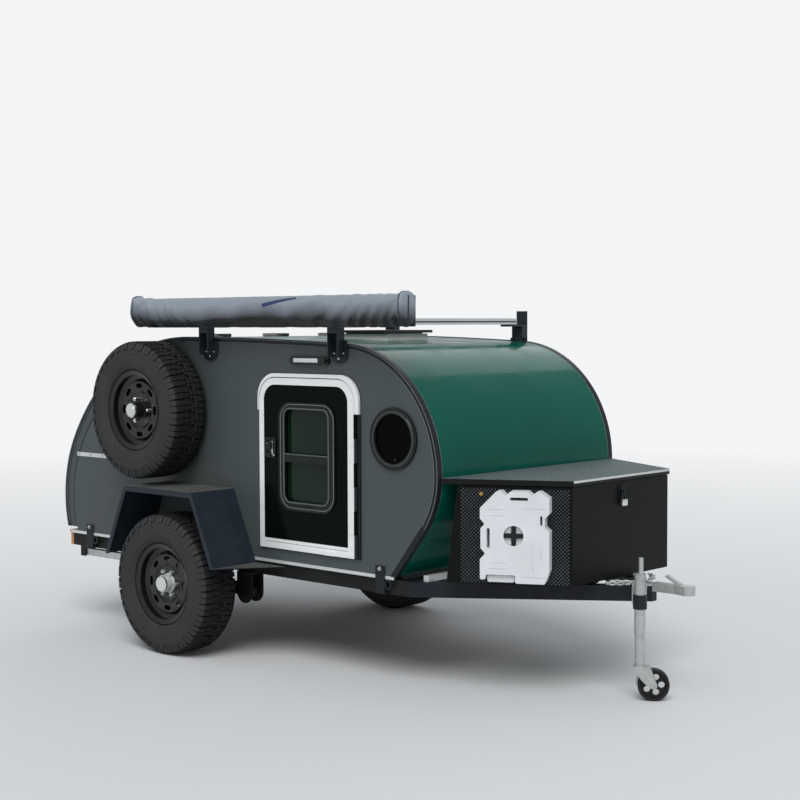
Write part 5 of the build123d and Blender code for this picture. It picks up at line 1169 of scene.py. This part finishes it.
@dataclass
class AwningBag:
    """The rolled awning in its cloth bag, with its black back, seams, zip and strap."""

    steps: int = 190
    ring: int = 52
    cap: float = 0.012
    frames: int = 20
    inset: float = 0.012
    short: float = 0.070
    folds: tuple[Fold, ...] = (
        Fold(-378, 1870, 80, 9, 8, 90), Fold(-340, 1880, -62, 12, 16, 80), Fold(-288, 1850, -52, 13, 18, 80),
        Fold(-215, 1866, -56, 14, 17, 66), Fold(-120, 1846, -52, 13, 17, 58), Fold(-62, 1862, -64, 14, 14, 60),
        Fold(-300, 1930, 30, 11, 10, 50), Fold(-178, 1828, -32, 10, 10, 50), Fold(20, 1840, -40, 18, 12, 60),
        Fold(120, 1832, -24, 16, 6, 70), Fold(300, 1842, 8, 20, 7, 190), Fold(560, 1852, 6, 22, 8, 240),
        Fold(860, 1850, 4, 20, 6, 200), Fold(980, 1886, 26, 22, 7, 130), Fold(1110, 1856, 32, 20, 10, 130),
        Fold(1240, 1856, 38, 20, 13, 140), Fold(1335, 1846, 44, 17, 14, 130), Fold(1416, 1852, 48, 15, 15, 120),
        Fold(1490, 1850, 52, 14, 14, 110), Fold(1560, 1846, 58, 12, 12, 90), Fold(1612, 1822, 62, 10, 9, 50))

    def __post_init__(self) -> None:
        """Take the bag's room from its CAD node, less the slack of its front end."""
        self.low, self.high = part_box("awning_bag")
        self.high.x -= self.short
        self.middle = (self.low + self.high) / 2
        self.size = self.high - self.low

    def section(self, x: float) -> list[Vector]:
        """The bag's cross-section, full above and drawn in under its foot.

        Args:
            x: Where along the bag.

        Returns:
            The ring of points.
        """
        ring = []
        for step in range(self.ring):
            angle = math.tau * step / self.ring
            across, up = math.cos(angle), math.sin(angle)
            power = 0.55 if up > 0 else 0.85
            y = math.copysign(abs(across) ** power, across) * (self.size.y / 2 - 0.004)
            z = math.copysign(abs(up) ** power, up) * (self.size.z / 2 - 0.004)
            if across < 0:
                y *= 1.0 - 0.62 * max(0.0, -up) ** 1.4
            ring.append(Vector((x, self.middle.y + y, self.middle.z + z)))
        return ring

    def shell(self) -> bpy.types.Object:
        """Draw the section and screw it out along the bag, with gathered ends."""
        shell = Bench.trace(self.section(self.low.x + self.inset), closed=True)
        with Bench.editing():
            bpy.ops.mesh.delete(type="ONLY_FACE")
        Bench.modify(shell, "SCREW", axis="X", angle=0.0, screw_offset=self.size.x - 2 * self.inset,
                     steps=self.steps, render_steps=self.steps)
        for sign, edge in ((-1, self.low.x + self.inset), (1, self.high.x - self.inset)):
            self.close_end(shell, sign, edge)
        Bench.pick(shell)
        with Bench.editing():
            Bench.outward()
        return shell

    def close_end(self, shell: bpy.types.Object, sign: int, edge: float) -> None:
        """Gather one end of the bag towards its middle.

        Args:
            shell: The bag.
            sign: Which way the end looks.
            edge: Where the end's ring lies.
        """
        Bench.pick(shell)
        with Bench.editing(everything=False):
            bpy.ops.mesh.select_all(action="DESELECT")
        for vertex in shell.data.vertices:
            vertex.select = abs(vertex.co.x - edge) < 0.001
        middle = Vector((edge, self.middle.y, self.middle.z))
        with Bench.editing(everything=False):
            for share, step in ((0.955, 0.0065), (0.93, 0.003), (0.62, 0.001), (0.45, -0.002)):
                bpy.ops.mesh.extrude_region_move(TRANSFORM_OT_translate={"value": (sign * step, 0, 0)})
                bpy.ops.transform.resize(value=(1.0, share, share), center_override=middle)
            bpy.ops.mesh.edge_face_add()
            bpy.ops.mesh.select_all(action="DESELECT")

    def settle(self, shell: bpy.types.Object) -> None:
        """Let the slack cloth find its wrinkles, then keep them within the cap.

        Args:
            shell: The bag.
        """
        before = [vertex.co.copy() for vertex in shell.data.vertices]
        Bench.pick(shell)
        pins = shell.vertex_groups.new(name="Held")
        held = [v.index for v in shell.data.vertices
                if v.co.y > self.high.y - 0.022 or abs(v.co.x - self.middle.x) > self.size.x / 2 - 0.03]
        pins.add(held, 1.0, "REPLACE")
        modifier = shell.modifiers.new("Cloth", "CLOTH")
        settings = modifier.settings
        settings.quality = 6
        settings.mass = 0.25
        settings.tension_stiffness = settings.compression_stiffness = 14.0
        settings.shear_stiffness = 6.0
        settings.bending_stiffness = 0.25
        settings.vertex_group_mass = "Held"
        settings.shrink_min = -0.08
        settings.use_pressure = True
        settings.uniform_pressure_force = 1.2
        settings.effector_weights.gravity = 0.5
        modifier.collision_settings.use_collision = False
        scene = bpy.context.scene
        for number in range(1, self.frames + 1):
            scene.frame_set(number)
        bpy.ops.object.modifier_apply(modifier=modifier.name)
        scene.frame_set(1)
        for vertex, start in zip(shell.data.vertices, before):
            move = vertex.co - start
            if move.length > self.cap:
                vertex.co = start + move.normalized() * self.cap
        shell.vertex_groups.clear()

    def crease(self, shell: bpy.types.Object) -> None:
        """Press the long folds into the front, subdivide once, and keep the bag within its room."""
        for vertex in shell.data.vertices:
            place = vertex.co
            outward = Vector((0, place.y - self.middle.y, place.z - self.middle.z))
            x, z = (place.x - AXLE_X) * 1000, place.z * 1000
            front = min(1.0, max(0.0, (self.high.y - 0.03 - place.y) / 0.03))
            lift = sum(fold.height(x, z) for fold in self.folds) * front / 1000
            vertex.co = place + outward.normalized() * lift
        Bench.modify(shell, "SUBSURF", levels=1, render_levels=1)
        for vertex in shell.data.vertices:
            vertex.co = Vector(min(max(v, lo), hi) for v, lo, hi in zip(vertex.co, self.low, self.high))

    def back(self) -> None:
        """The black channel behind and under the bag."""
        y0, y1 = self.high.y - 0.016, self.high.y - 0.0005
        x, foot = self.low.x + 0.01, self.low.z + 0.004
        outline = [(y1, foot + 0.15), (y1, foot), (y0 - 0.046, foot), (y0 - 0.046, foot + 0.004),
                   (y0, foot + 0.004), (y0, foot + 0.15)]
        rail = Bench.plate([Vector((x, *pair)) for pair in outline], Vector((self.size.x - 0.02, 0, 0)), 0.0008)
        Bench.done(rail, "awning_rail", BASE_BLACK)

    def trims(self, shell: bpy.types.Object) -> None:
        """Zips at both ends of the bag, the lower seam and the blue strap.

        Args:
            shell: The bag, which the trims lie on.
        """
        zips = []
        for x in (self.high.x - 0.020, self.low.x + 0.026):
            front = [point for point in self.section(x) if point.y < self.high.y - 0.03]
            front.sort(key=lambda point: math.atan2(self.middle.z - point.z, self.middle.y + 0.03 - point.y))
            zips.append(Bench.bead(self.laid(front, shell, 0.0010), 0.0026, sides=1))
        drop = [Vector((self.high.x, self.middle.y - 0.002, self.high.z - 0.022 - 0.128 * t / 16))
                for t in range(17)]
        zips.append(Bench.bead(self.laid(drop, shell, 0.0010), 0.0034, sides=1))
        Bench.done(Bench.join(*zips), "awning_zips", ZIP_NAVY)
        line = [Vector((self.low.x + 0.03 + (self.size.x - 0.06) * t / 60, self.low.y, self.low.z + 0.022))
                for t in range(61)]
        seam = Bench.bead(self.laid(line, shell, 0.0006), 0.0014, sides=1)
        Bench.done(seam, "awning_seam", BASE_BLACK)
        self.strap(shell)

    @staticmethod
    def laid(points: Points, shell: bpy.types.Object, proud: float) -> list[Vector]:
        """Move points on to the bag, a little proud of it."""
        moved = []
        for point in points:
            _, place, normal, _ = shell.closest_point_on_mesh(point)
            moved.append(place + normal * proud)
        return moved

    def strap(self, shell: bpy.types.Object) -> None:
        """The blue strap's loose end, lying aslant on the bag's front.

        Args:
            shell: The bag, which the strap lies on.
        """
        start, stop = at(700, 0, 1903), at(945, 0, 1955)
        start.y = stop.y = self.low.y - 0.004
        way = stop - start
        Bench.clear()
        bpy.ops.mesh.primitive_grid_add(x_subdivisions=28, y_subdivisions=4, size=1.0)
        ribbon = bpy.context.object
        across = Vector((0, -1, 0)).cross(way.normalized())
        turn = Matrix((way.normalized(), across, Vector((0, -1, 0)))).transposed().to_4x4()
        size = Matrix.Diagonal((way.length, 0.020, 1.0, 1.0))
        ribbon.matrix_world = Matrix.Translation((start + stop) / 2) @ turn @ size
        Bench.freeze()
        for vertex in ribbon.data.vertices:
            vertex.co = self.laid([vertex.co], shell, 0.0016)[0]
        Bench.modify(ribbon, "SOLIDIFY", thickness=0.0014)
        Bench.done(ribbon, "awning_strap", STRAP_BLUE)

    def build(self) -> None:
        """Model the bag, settle it, and let it stand for its CAD node."""
        shell = self.shell()
        self.settle(shell)
        self.crease(shell)
        Bench.done(shell, "awning_cloth", BAG_CLOTH_PAINTED_LIGHT, stands_for=("awning_bag",), angle=60.0)
        self.back()
        self.trims(shell)


@dataclass
class Fasteners:
    """Pan heads, hexagon bolts and rivets, each modelled once and copied to its places."""

    def pan(self, radius: float) -> bpy.types.Object:
        """A pan head with its slot, looking up from the origin."""
        height = radius * 0.55
        head = Bench.lathe(
            [Vector((0.00001, 0, height)), Vector((radius * 0.55, 0, height * 0.95)),
             Vector((radius * 0.9, 0, height * 0.55)), Vector((radius, 0, 0.0)), Vector((0.00001, 0, 0.0))],
            Vector(), UPRIGHT, 12)
        slot = Bench.box(Vector((-radius * 0.7, -radius * 0.1, height * 0.9)),
                         Vector((radius * 0.7, radius * 0.1, height * 1.04)), 0.0001)
        return Bench.join(head, slot)

    def hexagon(self, radius: float) -> bpy.types.Object:
        """A hexagon head on its washer, looking up from the origin."""
        washer = Bench.rod(Vector(), Vector((0, 0, radius * 0.22)), radius * 1.35, 20, radius * 0.05)
        head = Bench.rod(Vector((0, 0, radius * 0.2)), Vector((0, 0, radius * 0.95)), radius, 6, radius * 0.08)
        return Bench.join(washer, head)

    def put(self, name: str, head: bpy.types.Object, spots: Iterable[tuple[Vector, Vector]],
            finish: Coating) -> None:
        """Copy a head to each spot as one piece.

        Args:
            name: The piece's name.
            head: The head to copy, which is used up.
            spots: Points and the ways that they look.
            finish: The heads' finish.
        """
        Bench.done(Bench.scatter(head, [face_on(*spot) for spot in spots]), name, finish)

    def build(self) -> None:
        """Put the heads where the trailer has them."""
        both = [(side.value, side.out) for side in Side]
        racks = [(at(x + dx, sign * 740.4, z), way) for sign, way in both for x in RACK_PLATES
                 for dx, z in ((-33, 1655.0), (33, 1655.0), (0, 1629.0))]
        self.put("rack_screws", self.pan(0.0065), racks, CHROME)
        seams = [(at(x, sign * 730.0, 1022.0), way) for sign, way in both for x in range(-1118, -440, 115)]
        self.put("seam_screws", self.pan(0.0045), seams, STEEL_BLACK)
        ties = [(at(x, sign * 736.0, 585.0), way) for sign, way in both for x in (1384.0, -1018.0)]
        self.put("tie_bolts", self.hexagon(0.0085), ties, ZINC)
        rings = [(at(PORTHOLE[0] + 141 * math.cos(a), sign * 739.0, PORTHOLE[1] + 141 * math.sin(a)), way)
                 for sign, way in both for a in (math.tau * (i + 0.5) / 10 for i in range(10))]
        self.put("porthole_screws", self.pan(0.0042), rings, STEEL_BLACK)
        strip = [(at(1243.0, sign * 738.0, z), way) for sign, way in both for z in range(650, 1350, 76)]
        self.put("hinge_screws", self.pan(0.0038), strip, STEEL_BLACK)
        lamps = [(at(-1241.0, sign * y, 500.0), Vector((-1, 0, 0))) for sign in (-1, 1) for y in (572.0, 698.0)]
        self.put("lamp_screws", self.pan(0.004), lamps, CHROME)
        plate = [(at(x, y, 543.0), UPRIGHT) for x, y in ((2478, -32), (2478, 32), (2535, 0))]
        self.put("coupler_bolts", self.hexagon(0.0075), plate, ZINC)
        fenders = [(at(x, sign * 1026.0, z), way) for sign, way in both
                   for x, z in ((-420.0, 560.0), (450.0, 560.0), (-310.0, 860.0), (330.0, 860.0))]
        self.put("fender_bolts", self.pan(0.005), fenders, STEEL_BLACK)


@dataclass
class DoorDress:
    """Seals, grooves, window beads and latches of one door."""

    side: Side

    def at_face(self, offset: float) -> float:
        """A distance across the trailer, out from the wall, in millimetres."""
        return self.side.value * (WALL_FACE + offset)

    def build(self) -> None:
        """Dress the door leaf and its jamb."""
        word, body = self.side.word, f"door_{self.side.word}"
        proud = self.at_face(20.6)
        inner = Bench.bead(rounded_loop(707, 1039, 870, 1364, (46, 46, 46, 46), proud, 8), 0.0042, True)
        bar = Bench.bead([at(712, proud, 1124), at(1034, proud, 1124)], 0.0036)
        Bench.done(Bench.join(inner, bar), f"window_beads_{word}", FRAME_GREY, body)
        edge = rounded_loop(683, 1075, 842, 1386, (80, 80, 80, 80), proud, 10)
        Bench.done(Bench.bead(edge, 0.0022, True), f"window_edge_{word}", BEAD_GREY, body)
        groove = Bench.block(at(552, self.at_face(15.4), 650.0), at(1172, self.at_face(16.5), 652.4), 0.0003)
        Bench.done(groove, f"door_groove_{word}", BEAD_GREY, body)
        seal = rounded_loop(549, 1173, 668, 1487, (6, 6, 86, 86), self.at_face(13.5), 8)
        Bench.done(Bench.bead(seal, 0.0024, True), f"panel_seal_{word}", SEAL, body)
        latch = [Bench.block(at(846, self.at_face(19.5), 850), at(902, self.at_face(24.0), 862), 0.0015),
                 Bench.block(at(862, self.at_face(22.0), 852), at(886, self.at_face(27.0), 866), 0.002)]
        Bench.done(Bench.join(*latch), f"window_latch_{word}", BLACK_MOULD, body)
        self.handle(word, body)
        self.porthole(word)
        gasket = rounded_loop(506, 1224, 614, 1530, (3, 3, 122, 122), self.at_face(5.6), 8)
        Bench.done(Bench.bead(gasket, 0.0015, True), f"jamb_gasket_{word}", SEAL)

    def handle(self, word: str, body: str) -> None:
        """Give the handle its edge, bright slot and rivets."""
        edge = rounded_loop(565, 639, 1101, 1203, (11, 11, 11, 11), self.at_face(20.4), 5)
        Bench.done(Bench.bead(edge, 0.0014, True), f"handle_edge_{word}", RING_GREY, body)
        slot = Bench.block(at(614, self.at_face(20.0), 1116), at(622, self.at_face(21.6), 1188), 0.0012)
        rivets = [Bench.rod(at(x, self.at_face(19.5), z), at(x, self.at_face(22.0), z), 0.0055, 16, 0.0012)
                  for x, z in ((581.0, 1172.0), (629.0, 1112.0))]
        Bench.done(Bench.join(slot, *rivets), f"handle_brights_{word}", CHROME, body)

    def porthole(self, word: str) -> None:
        """Give the porthole its inner ring, bright line and drain."""
        centre = at(PORTHOLE[0], self.at_face(0.0), PORTHOLE[1])
        out = self.side.out
        section = [(127.5, 3.0), (128.0, 13.6), (131.0, 14.6), (137.0, 14.2), (139.5, 12.1), (137.0, 11.0)]
        ring = Bench.lathe([centre + out * (o / 1000) + Vector((0, 0, r / 1000)) for r, o in section],
                           centre, CROSSWISE, 64)
        Bench.done(ring, f"porthole_bevel_{word}", RING_GREY)
        line = [centre + out * 0.0062 + Vector((math.cos(a), 0, math.sin(a))) * 0.1262
                for a in (math.tau * i / 64 for i in range(64))]
        Bench.done(Bench.bead(line, 0.0016, True), f"porthole_line_{word}", BEAD_GREY)
        foot = centre + Vector((0.012, 0, -0.104))
        drain = Bench.rod(foot + out * 0.001, foot + out * 0.007, 0.007, 16, 0.001)
        Bench.done(drain, f"porthole_drain_{word}", BLACK_MOULD)


@dataclass
class BoxDress:
    """Tread plate, hasp, padlock, edging and tap of the toolbox."""

    rear: tuple[float, float] = (1773.2, -715.0)
    front: tuple[float, float] = (2337.0, -414.0)
    pitch: float = 0.0175
    bar_size: tuple[float, float, float] = (0.0080, 0.0026, 0.0018)
    drop: float = 8.0

    def __post_init__(self) -> None:
        """Work out the right face's directions."""
        way = Vector((self.front[0] - self.rear[0], self.front[1] - self.rear[1], 0))
        self.length = way.length / 1000
        self.along = way.normalized()
        self.out = Vector((self.along.y, -self.along.x, 0))

    def on_side(self, along: float, z: float, proud: float = 0.0) -> Vector:
        """A point on the right face, by distance along it and height in millimetres."""
        start = Vector((*self.rear, z)) + self.along * along + self.out * (proud - self.drop)
        return at(*start)

    def face_matrix(self) -> Matrix:
        """From the plate's own plane to the right face."""
        turn = Matrix((self.along, UPRIGHT, self.out)).transposed().to_4x4()
        return Matrix.Translation(self.on_side(0.0, 562.0, 0.05)) @ turn

    def plate_rows(self) -> None:
        """Lay the tread plate on both side faces, its bars in a paler paint as a painted highlight."""
        cell = Bench.join(self.bar(38.0, 0.0), self.bar(-38.0, 0.5))
        columns = int((self.length - 0.112) / self.pitch)
        rows = int(0.468 / self.pitch)
        for count, step in ((columns, (self.pitch, 0, 0)), (rows, (0, self.pitch, 0))):
            Bench.modify(cell, "ARRAY", use_relative_offset=False, use_constant_offset=True,
                         constant_offset_displace=step, count=count)
        Bench.pick(cell)
        cell.location.x = 0.094
        Bench.freeze()
        cell.matrix_world = self.face_matrix()
        Bench.freeze()
        twin = Bench.mirrored(cell)
        Bench.done(cell, "tread_bars_right", TREAD_PLATE_GLINT)
        Bench.done(twin, "tread_bars_left", TREAD_PLATE_GLINT)

    def bar(self, turn: float, shift: float) -> bpy.types.Object:
        """One raised bar of the plate, in the plate's own plane.

        Args:
            turn: Its angle in degrees.
            shift: Its place within a cell, as a share of the pitch.

        Returns:
            The bar.
        """
        long, wide, high = self.bar_size
        bar = Bench.trace([Vector((-long, 0, 0)), Vector((0, -wide, 0)), Vector((long, 0, 0)),
                           Vector((0, wide, 0))], closed=True)
        with Bench.editing():
            bpy.ops.mesh.extrude_region_move(TRANSFORM_OT_translate={"value": (0, 0, high)})
            bpy.ops.transform.resize(value=(0.7, 0.4, 1.0), center_override=(0, 0, high))
            Bench.outward()
        bar.rotation_euler.z = math.radians(turn)
        bar.location = Vector((self.pitch * (0.25 + shift), self.pitch * (0.25 + shift), 0.0))
        Bench.freeze()
        return bar

    def hasp(self) -> None:
        """The hasp's plate, staple and padlock on the front face."""
        face = 2329.0
        plate = Bench.block(at(face + 0.2, -40, 944), at(face + 3, 22, 1018), 0.0012)
        Bench.done(plate, "hasp_plate", BOX_BLACK)
        lock = Bench.block(at(face + 4, -31, 910), at(face + 26, 13, 944), 0.004)
        shackle = [at(face + 15, -9 + 13 * math.cos(a), 942 + 32 * math.sin(a))
                   for a in (math.pi * i / 10 for i in range(11))]
        Bench.done(lock, "padlock", CHROME)
        Bench.done(Bench.bead(shackle, 0.0042), "padlock_shackle", STEEL_BLACK)
        staple = Bench.block(at(face + 3, -14, 958), at(face + 24, -4, 990), 0.001)
        Bench.done(staple, "hasp_staple", STEEL_BLACK)

    def edging(self) -> None:
        """A bright strip on the lid's front edge, and the tap near the lid."""
        strip = Bench.block(at(2337.2, -412, 1050), at(2338.8, 412, 1061), 0.0004)
        Bench.done(strip, "lid_edging", PALE_BRIGHT, "lid", "silver")
        foot = self.on_side(196.0, 992.0, 0.3)
        tip = foot + self.out * 0.022
        nut = Bench.rod(foot, foot + self.out * 0.010, 0.010, 6, 0.0006)
        pipe = Bench.rod(foot + self.out * 0.009, tip, 0.006, 16, 0.0005)
        Bench.done(Bench.join(nut, pipe), "box_tap", BRASS)

    def build(self) -> None:
        """Dress the box."""
        self.plate_rows()
        self.hasp()
        self.edging()


@dataclass
class TankDress:
    """Ribs and cap of the water container, laid on the box's right face."""

    box: BoxDress
    out_face: float = 92.4

    def strip(self, s0: float, s1: float, z0: float, z1: float, high: float) -> bpy.types.Object:
        """A raised rib on the container's outer face."""
        corners = [(s0, z0), (s1, z0), (s1, z1), (s0, z1)]
        points = [self.box.on_side(s, z, self.out_face) for s, z in corners]
        return Bench.plate(points, self.box.out * high / 1000, 0.0012)

    def build(self) -> None:
        """Put the ribs and the cap on."""
        ribs = [self.strip(455, 462, 640, 790, 3.0), self.strip(494, 500, 700, 800, 2.0)]
        ribs += [self.strip(252, 330, z, z + 5, 2.0) for z in (648, 676, 900, 930)]
        ribs += [self.strip(410, 520, z, z + 5, 2.0) for z in (612, 936)]
        Bench.done(Bench.join(*ribs), "tank_ribs", WHITE_TANK)
        middle = self.box.on_side(367.0, 805.0)
        section = [(10.5, 76.0), (10.5, 78.0), (42.0, 78.0), (46.5, 80.0), (46.5, 76.0), (10.5, 76.0)]
        points = [middle + self.box.out * out / 1000 + Vector((0, 0, radius / 1000)) for radius, out in section]
        dish = Bench.lathe(points, middle, self.box.out, 48)
        Bench.done(dish, "tank_dish", WHITE_TANK)


@dataclass
class ChainPile:
    """Loose links of the safety chains, in one run on each side that ends at the coupler's neck."""

    rod: float = 3.2
    length: float = 30.0
    width: float = 20.0

    def link(self) -> bpy.types.Object:
        """One oval link about the origin, along X."""
        straight, radius = (self.length - self.width) / 2, (self.width - 2 * self.rod) / 2 + self.rod / 2
        points = []
        for end in (1, -1):
            for step in range(7):
                angle = math.radians(-90 + 30 * step) + (0.0 if end > 0 else math.pi)
                x, y = end * straight + radius * math.cos(angle), radius * math.sin(angle)
                points.append(Vector((x, y, 0)) / 1000)
        return Bench.bead(points, self.rod / 1000, closed=True, sides=1)

    def build(self) -> None:
        """Lay the links along both runs, at one height."""
        places = []
        runs = (((2372, -178), (2420, -146), (2452, -100), (2440, -62), (2462, -30)),
                ((2380, 170), (2424, 138), (2450, 92), (2446, 50)))
        for run in runs:
            for start, stop in zip(run, run[1:]):
                way = Vector((stop[0] - start[0], stop[1] - start[1], 0))
                count = max(1, round(way.length / 19))
                for step in range(count):
                    spot = Vector((*start, 0)) + way * (step / count)
                    tilt = 48.0 if len(places) % 2 else -42.0
                    turn = Matrix.Rotation(way.to_track_quat("X", "Z").to_euler().z, 4, "Z")
                    lean = Matrix.Rotation(math.radians(tilt), 4, "X")
                    places.append(Matrix.Translation(at(spot.x, spot.y, 552.0)) @ turn @ lean)
        Bench.done(Bench.scatter(self.link(), places), "chain_pile", ZINC, angle=50.0)


@dataclass
class JackDress:
    """Clamp and guard of the jack, in millimetres."""

    clamp_bore: float = 27.0
    clamp_radius: float = 33.5
    clamp_foot: float = 440.0
    clamp_top: float = 508.0
    guard_inside: float = 80.5
    guard_outside: float = 83.0
    guard_width: float = 57.0

    def build(self) -> None:
        """Add the dark clamp round the tube and the guard over the wheel."""
        low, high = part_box("jack_inner")
        axis = (low + high) / 2
        bore, wide, foot, top = self.clamp_bore, self.clamp_radius, self.clamp_foot, self.clamp_top
        section = ((bore, foot), (wide - 0.5, foot), (wide, foot + 3), (wide, top - 3), (wide - 0.5, top),
                   (bore, top), (bore, foot))
        clamp = [Vector((axis.x + r / 1000, axis.y, z / 1000)) for r, z in section]
        Bench.done(Bench.lathe(clamp, axis, UPRIGHT, 40), "jack_clamp", STEEL_BLACK, "jack_swing_body")
        wheel_low, wheel_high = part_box("jack_wheel")
        centre = (wheel_low + wheel_high) / 2
        along = Vector((centre.x - axis.x, centre.y - axis.y, 0)).normalized()
        out = Vector((along.y, -along.x, 0))
        arc = []
        for size, turn in ((self.guard_outside, range(38, 106, 6)), (self.guard_inside, range(104, 37, -6))):
            radius = size / 1000
            for angle in map(math.radians, turn):
                arc.append(centre - along * radius * math.sin(angle) + Vector((0, 0, radius * math.cos(angle)))
                           - out * self.guard_width / 2000)
        Bench.done(Bench.plate(arc, out * self.guard_width / 1000), "jack_guard", ZINC, "jack_caster")


@dataclass
class BodyTrim:
    """Pale beads along the edge trim's two edges, their pale grey a painted highlight on its profile, split at
    the hatch.
    """

    rear_a: tuple[float, float, float] = (-104.0, 503.0, 1230.0)
    rear_b: tuple[float, float, float] = (-549.1, 760.0, 716.0)
    roof: tuple[float, float, float] = (-104.0, -23267.0, 25000.0)
    nose: tuple[float, float, float] = (1124.2, 1062.0, 640.0)
    chin: tuple[float, float, float] = (1324.2, 1062.0, 440.0)
    hatch_x: float = -150.0

    def run(self, arc: tuple[float, float, float], start: float, stop: float, inset: float, side: float,
            steps: int) -> list[Vector]:
        """Points on an arc of the outline.

        Args:
            arc: Its centre and radius.
            start: Its first turn forward from straight up, in degrees.
            stop: Its last turn.
            inset: How far inside the outline.
            side: Where it lies across the trailer.
            steps: How many steps.

        Returns:
            The points.
        """
        x, z, radius = arc
        turns = [math.radians(start + (stop - start) * i / steps) for i in range(steps + 1)]
        return [at(x + (radius - inset) * math.sin(t), side, z + (radius - inset) * math.cos(t)) for t in turns]

    def build(self) -> None:
        """Run the painted highlight beads along the trim's two edges."""
        for inset in (24.0, 4.0):
            self.painted_glint_lines(inset)

    def painted_glint_lines(self, inset: float) -> None:
        """Run a pale bead, a painted highlight line, along both sides at one distance inside the outline."""
        edge = math.degrees(math.asin((self.hatch_x - self.rear_a[0]) / (self.rear_a[2] - inset)))
        for side in Side:
            y = side.value * TRIM_FACE
            front = self.run(self.roof, 0.0, 2.8, inset, y, 6) + self.run(self.nose, 3.2, 90.0, inset, y, 36)
            front += self.run(self.chin, 92.0, 126.0, inset, y, 16)
            line = f"line_{inset:.0f}_{side.word}"
            Bench.done(Bench.bead(front, 0.0016), f"trim_{line}", BEAD_GREY)
            rear = self.run(self.rear_a, edge, -60.0, inset, y, 30)
            rear += self.run(self.rear_b, -62.0, -104.0, inset, y, 24)
            Bench.done(Bench.bead(rear, 0.0016), f"hatch_{line}", BEAD_GREY, "hatch")


@dataclass
class RoofDress:
    """Grooves and end caps of the crossbars."""

    def build(self) -> None:
        """Add a dark groove along each bar's top and a cap on each end."""
        low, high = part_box("crossbars")
        pieces, caps = [], []
        for x in BARS:
            middle = at(x, 0, 0).x
            pieces.append(Bench.box(Vector((middle - 0.005, low.y + 0.004, high.z - 0.0004)),
                                    Vector((middle + 0.005, high.y - 0.004, high.z + 0.0008)), 0.0002))
            for face in (-1, 1):
                x0 = middle + face * 0.0229
                pieces.append(Bench.block(Vector((x0, low.y + 0.004, low.z + 0.013)),
                                          Vector((x0 + face * 0.0008, high.y - 0.004, low.z + 0.020)), 0.0002))
            for sign, y in ((-1, low.y), (1, high.y)):
                caps.append(Bench.block(Vector((middle - 0.0235, y, low.z - 0.0005)),
                                        Vector((middle + 0.0235, y + sign * 0.005, high.z + 0.0005)), 0.002))
        Bench.done(Bench.join(*pieces), "bar_grooves", STEEL_BLACK)
        Bench.done(Bench.join(*caps), "bar_caps", BLACK_MOULD)


def main() -> None:
    """Build the studio and dress every sub-assembly, in order."""
    logging.basicConfig(level=logging.INFO, format="%(name)s: %(message)s")
    Studio().build()
    Finishes(NODE_FINISHES).apply()
    for side in Side:
        Tyre(f"tyre_{side.word}", f"wheel_{side.word}", f"tread_{side.word}").build()
    Tyre("spare_tyre", "chassis", "tread_spare").build()
    for side in Side:
        HubCap(f"rim_{side.word}", f"wheel_{side.word}", f"hub_{side.word}", side.out, 0.0495, 0.1060,
               PALE_BRIGHT).build()
    HubCap("spare_rim", "chassis", "spare_hub", Side.RIGHT.out, 0.0495, 0.1240, BLACK_MOULD, 0.044).build()
    RackDress().build()
    AwningBag().build()
    Fasteners().build()
    for side in Side:
        DoorDress(side).build()
    box = BoxDress()
    box.build()
    TankDress(box).build()
    ChainPile().build()
    JackDress().build()
    BodyTrim().build()
    RoofDress().build()


if __name__ == "__main__":
    main()
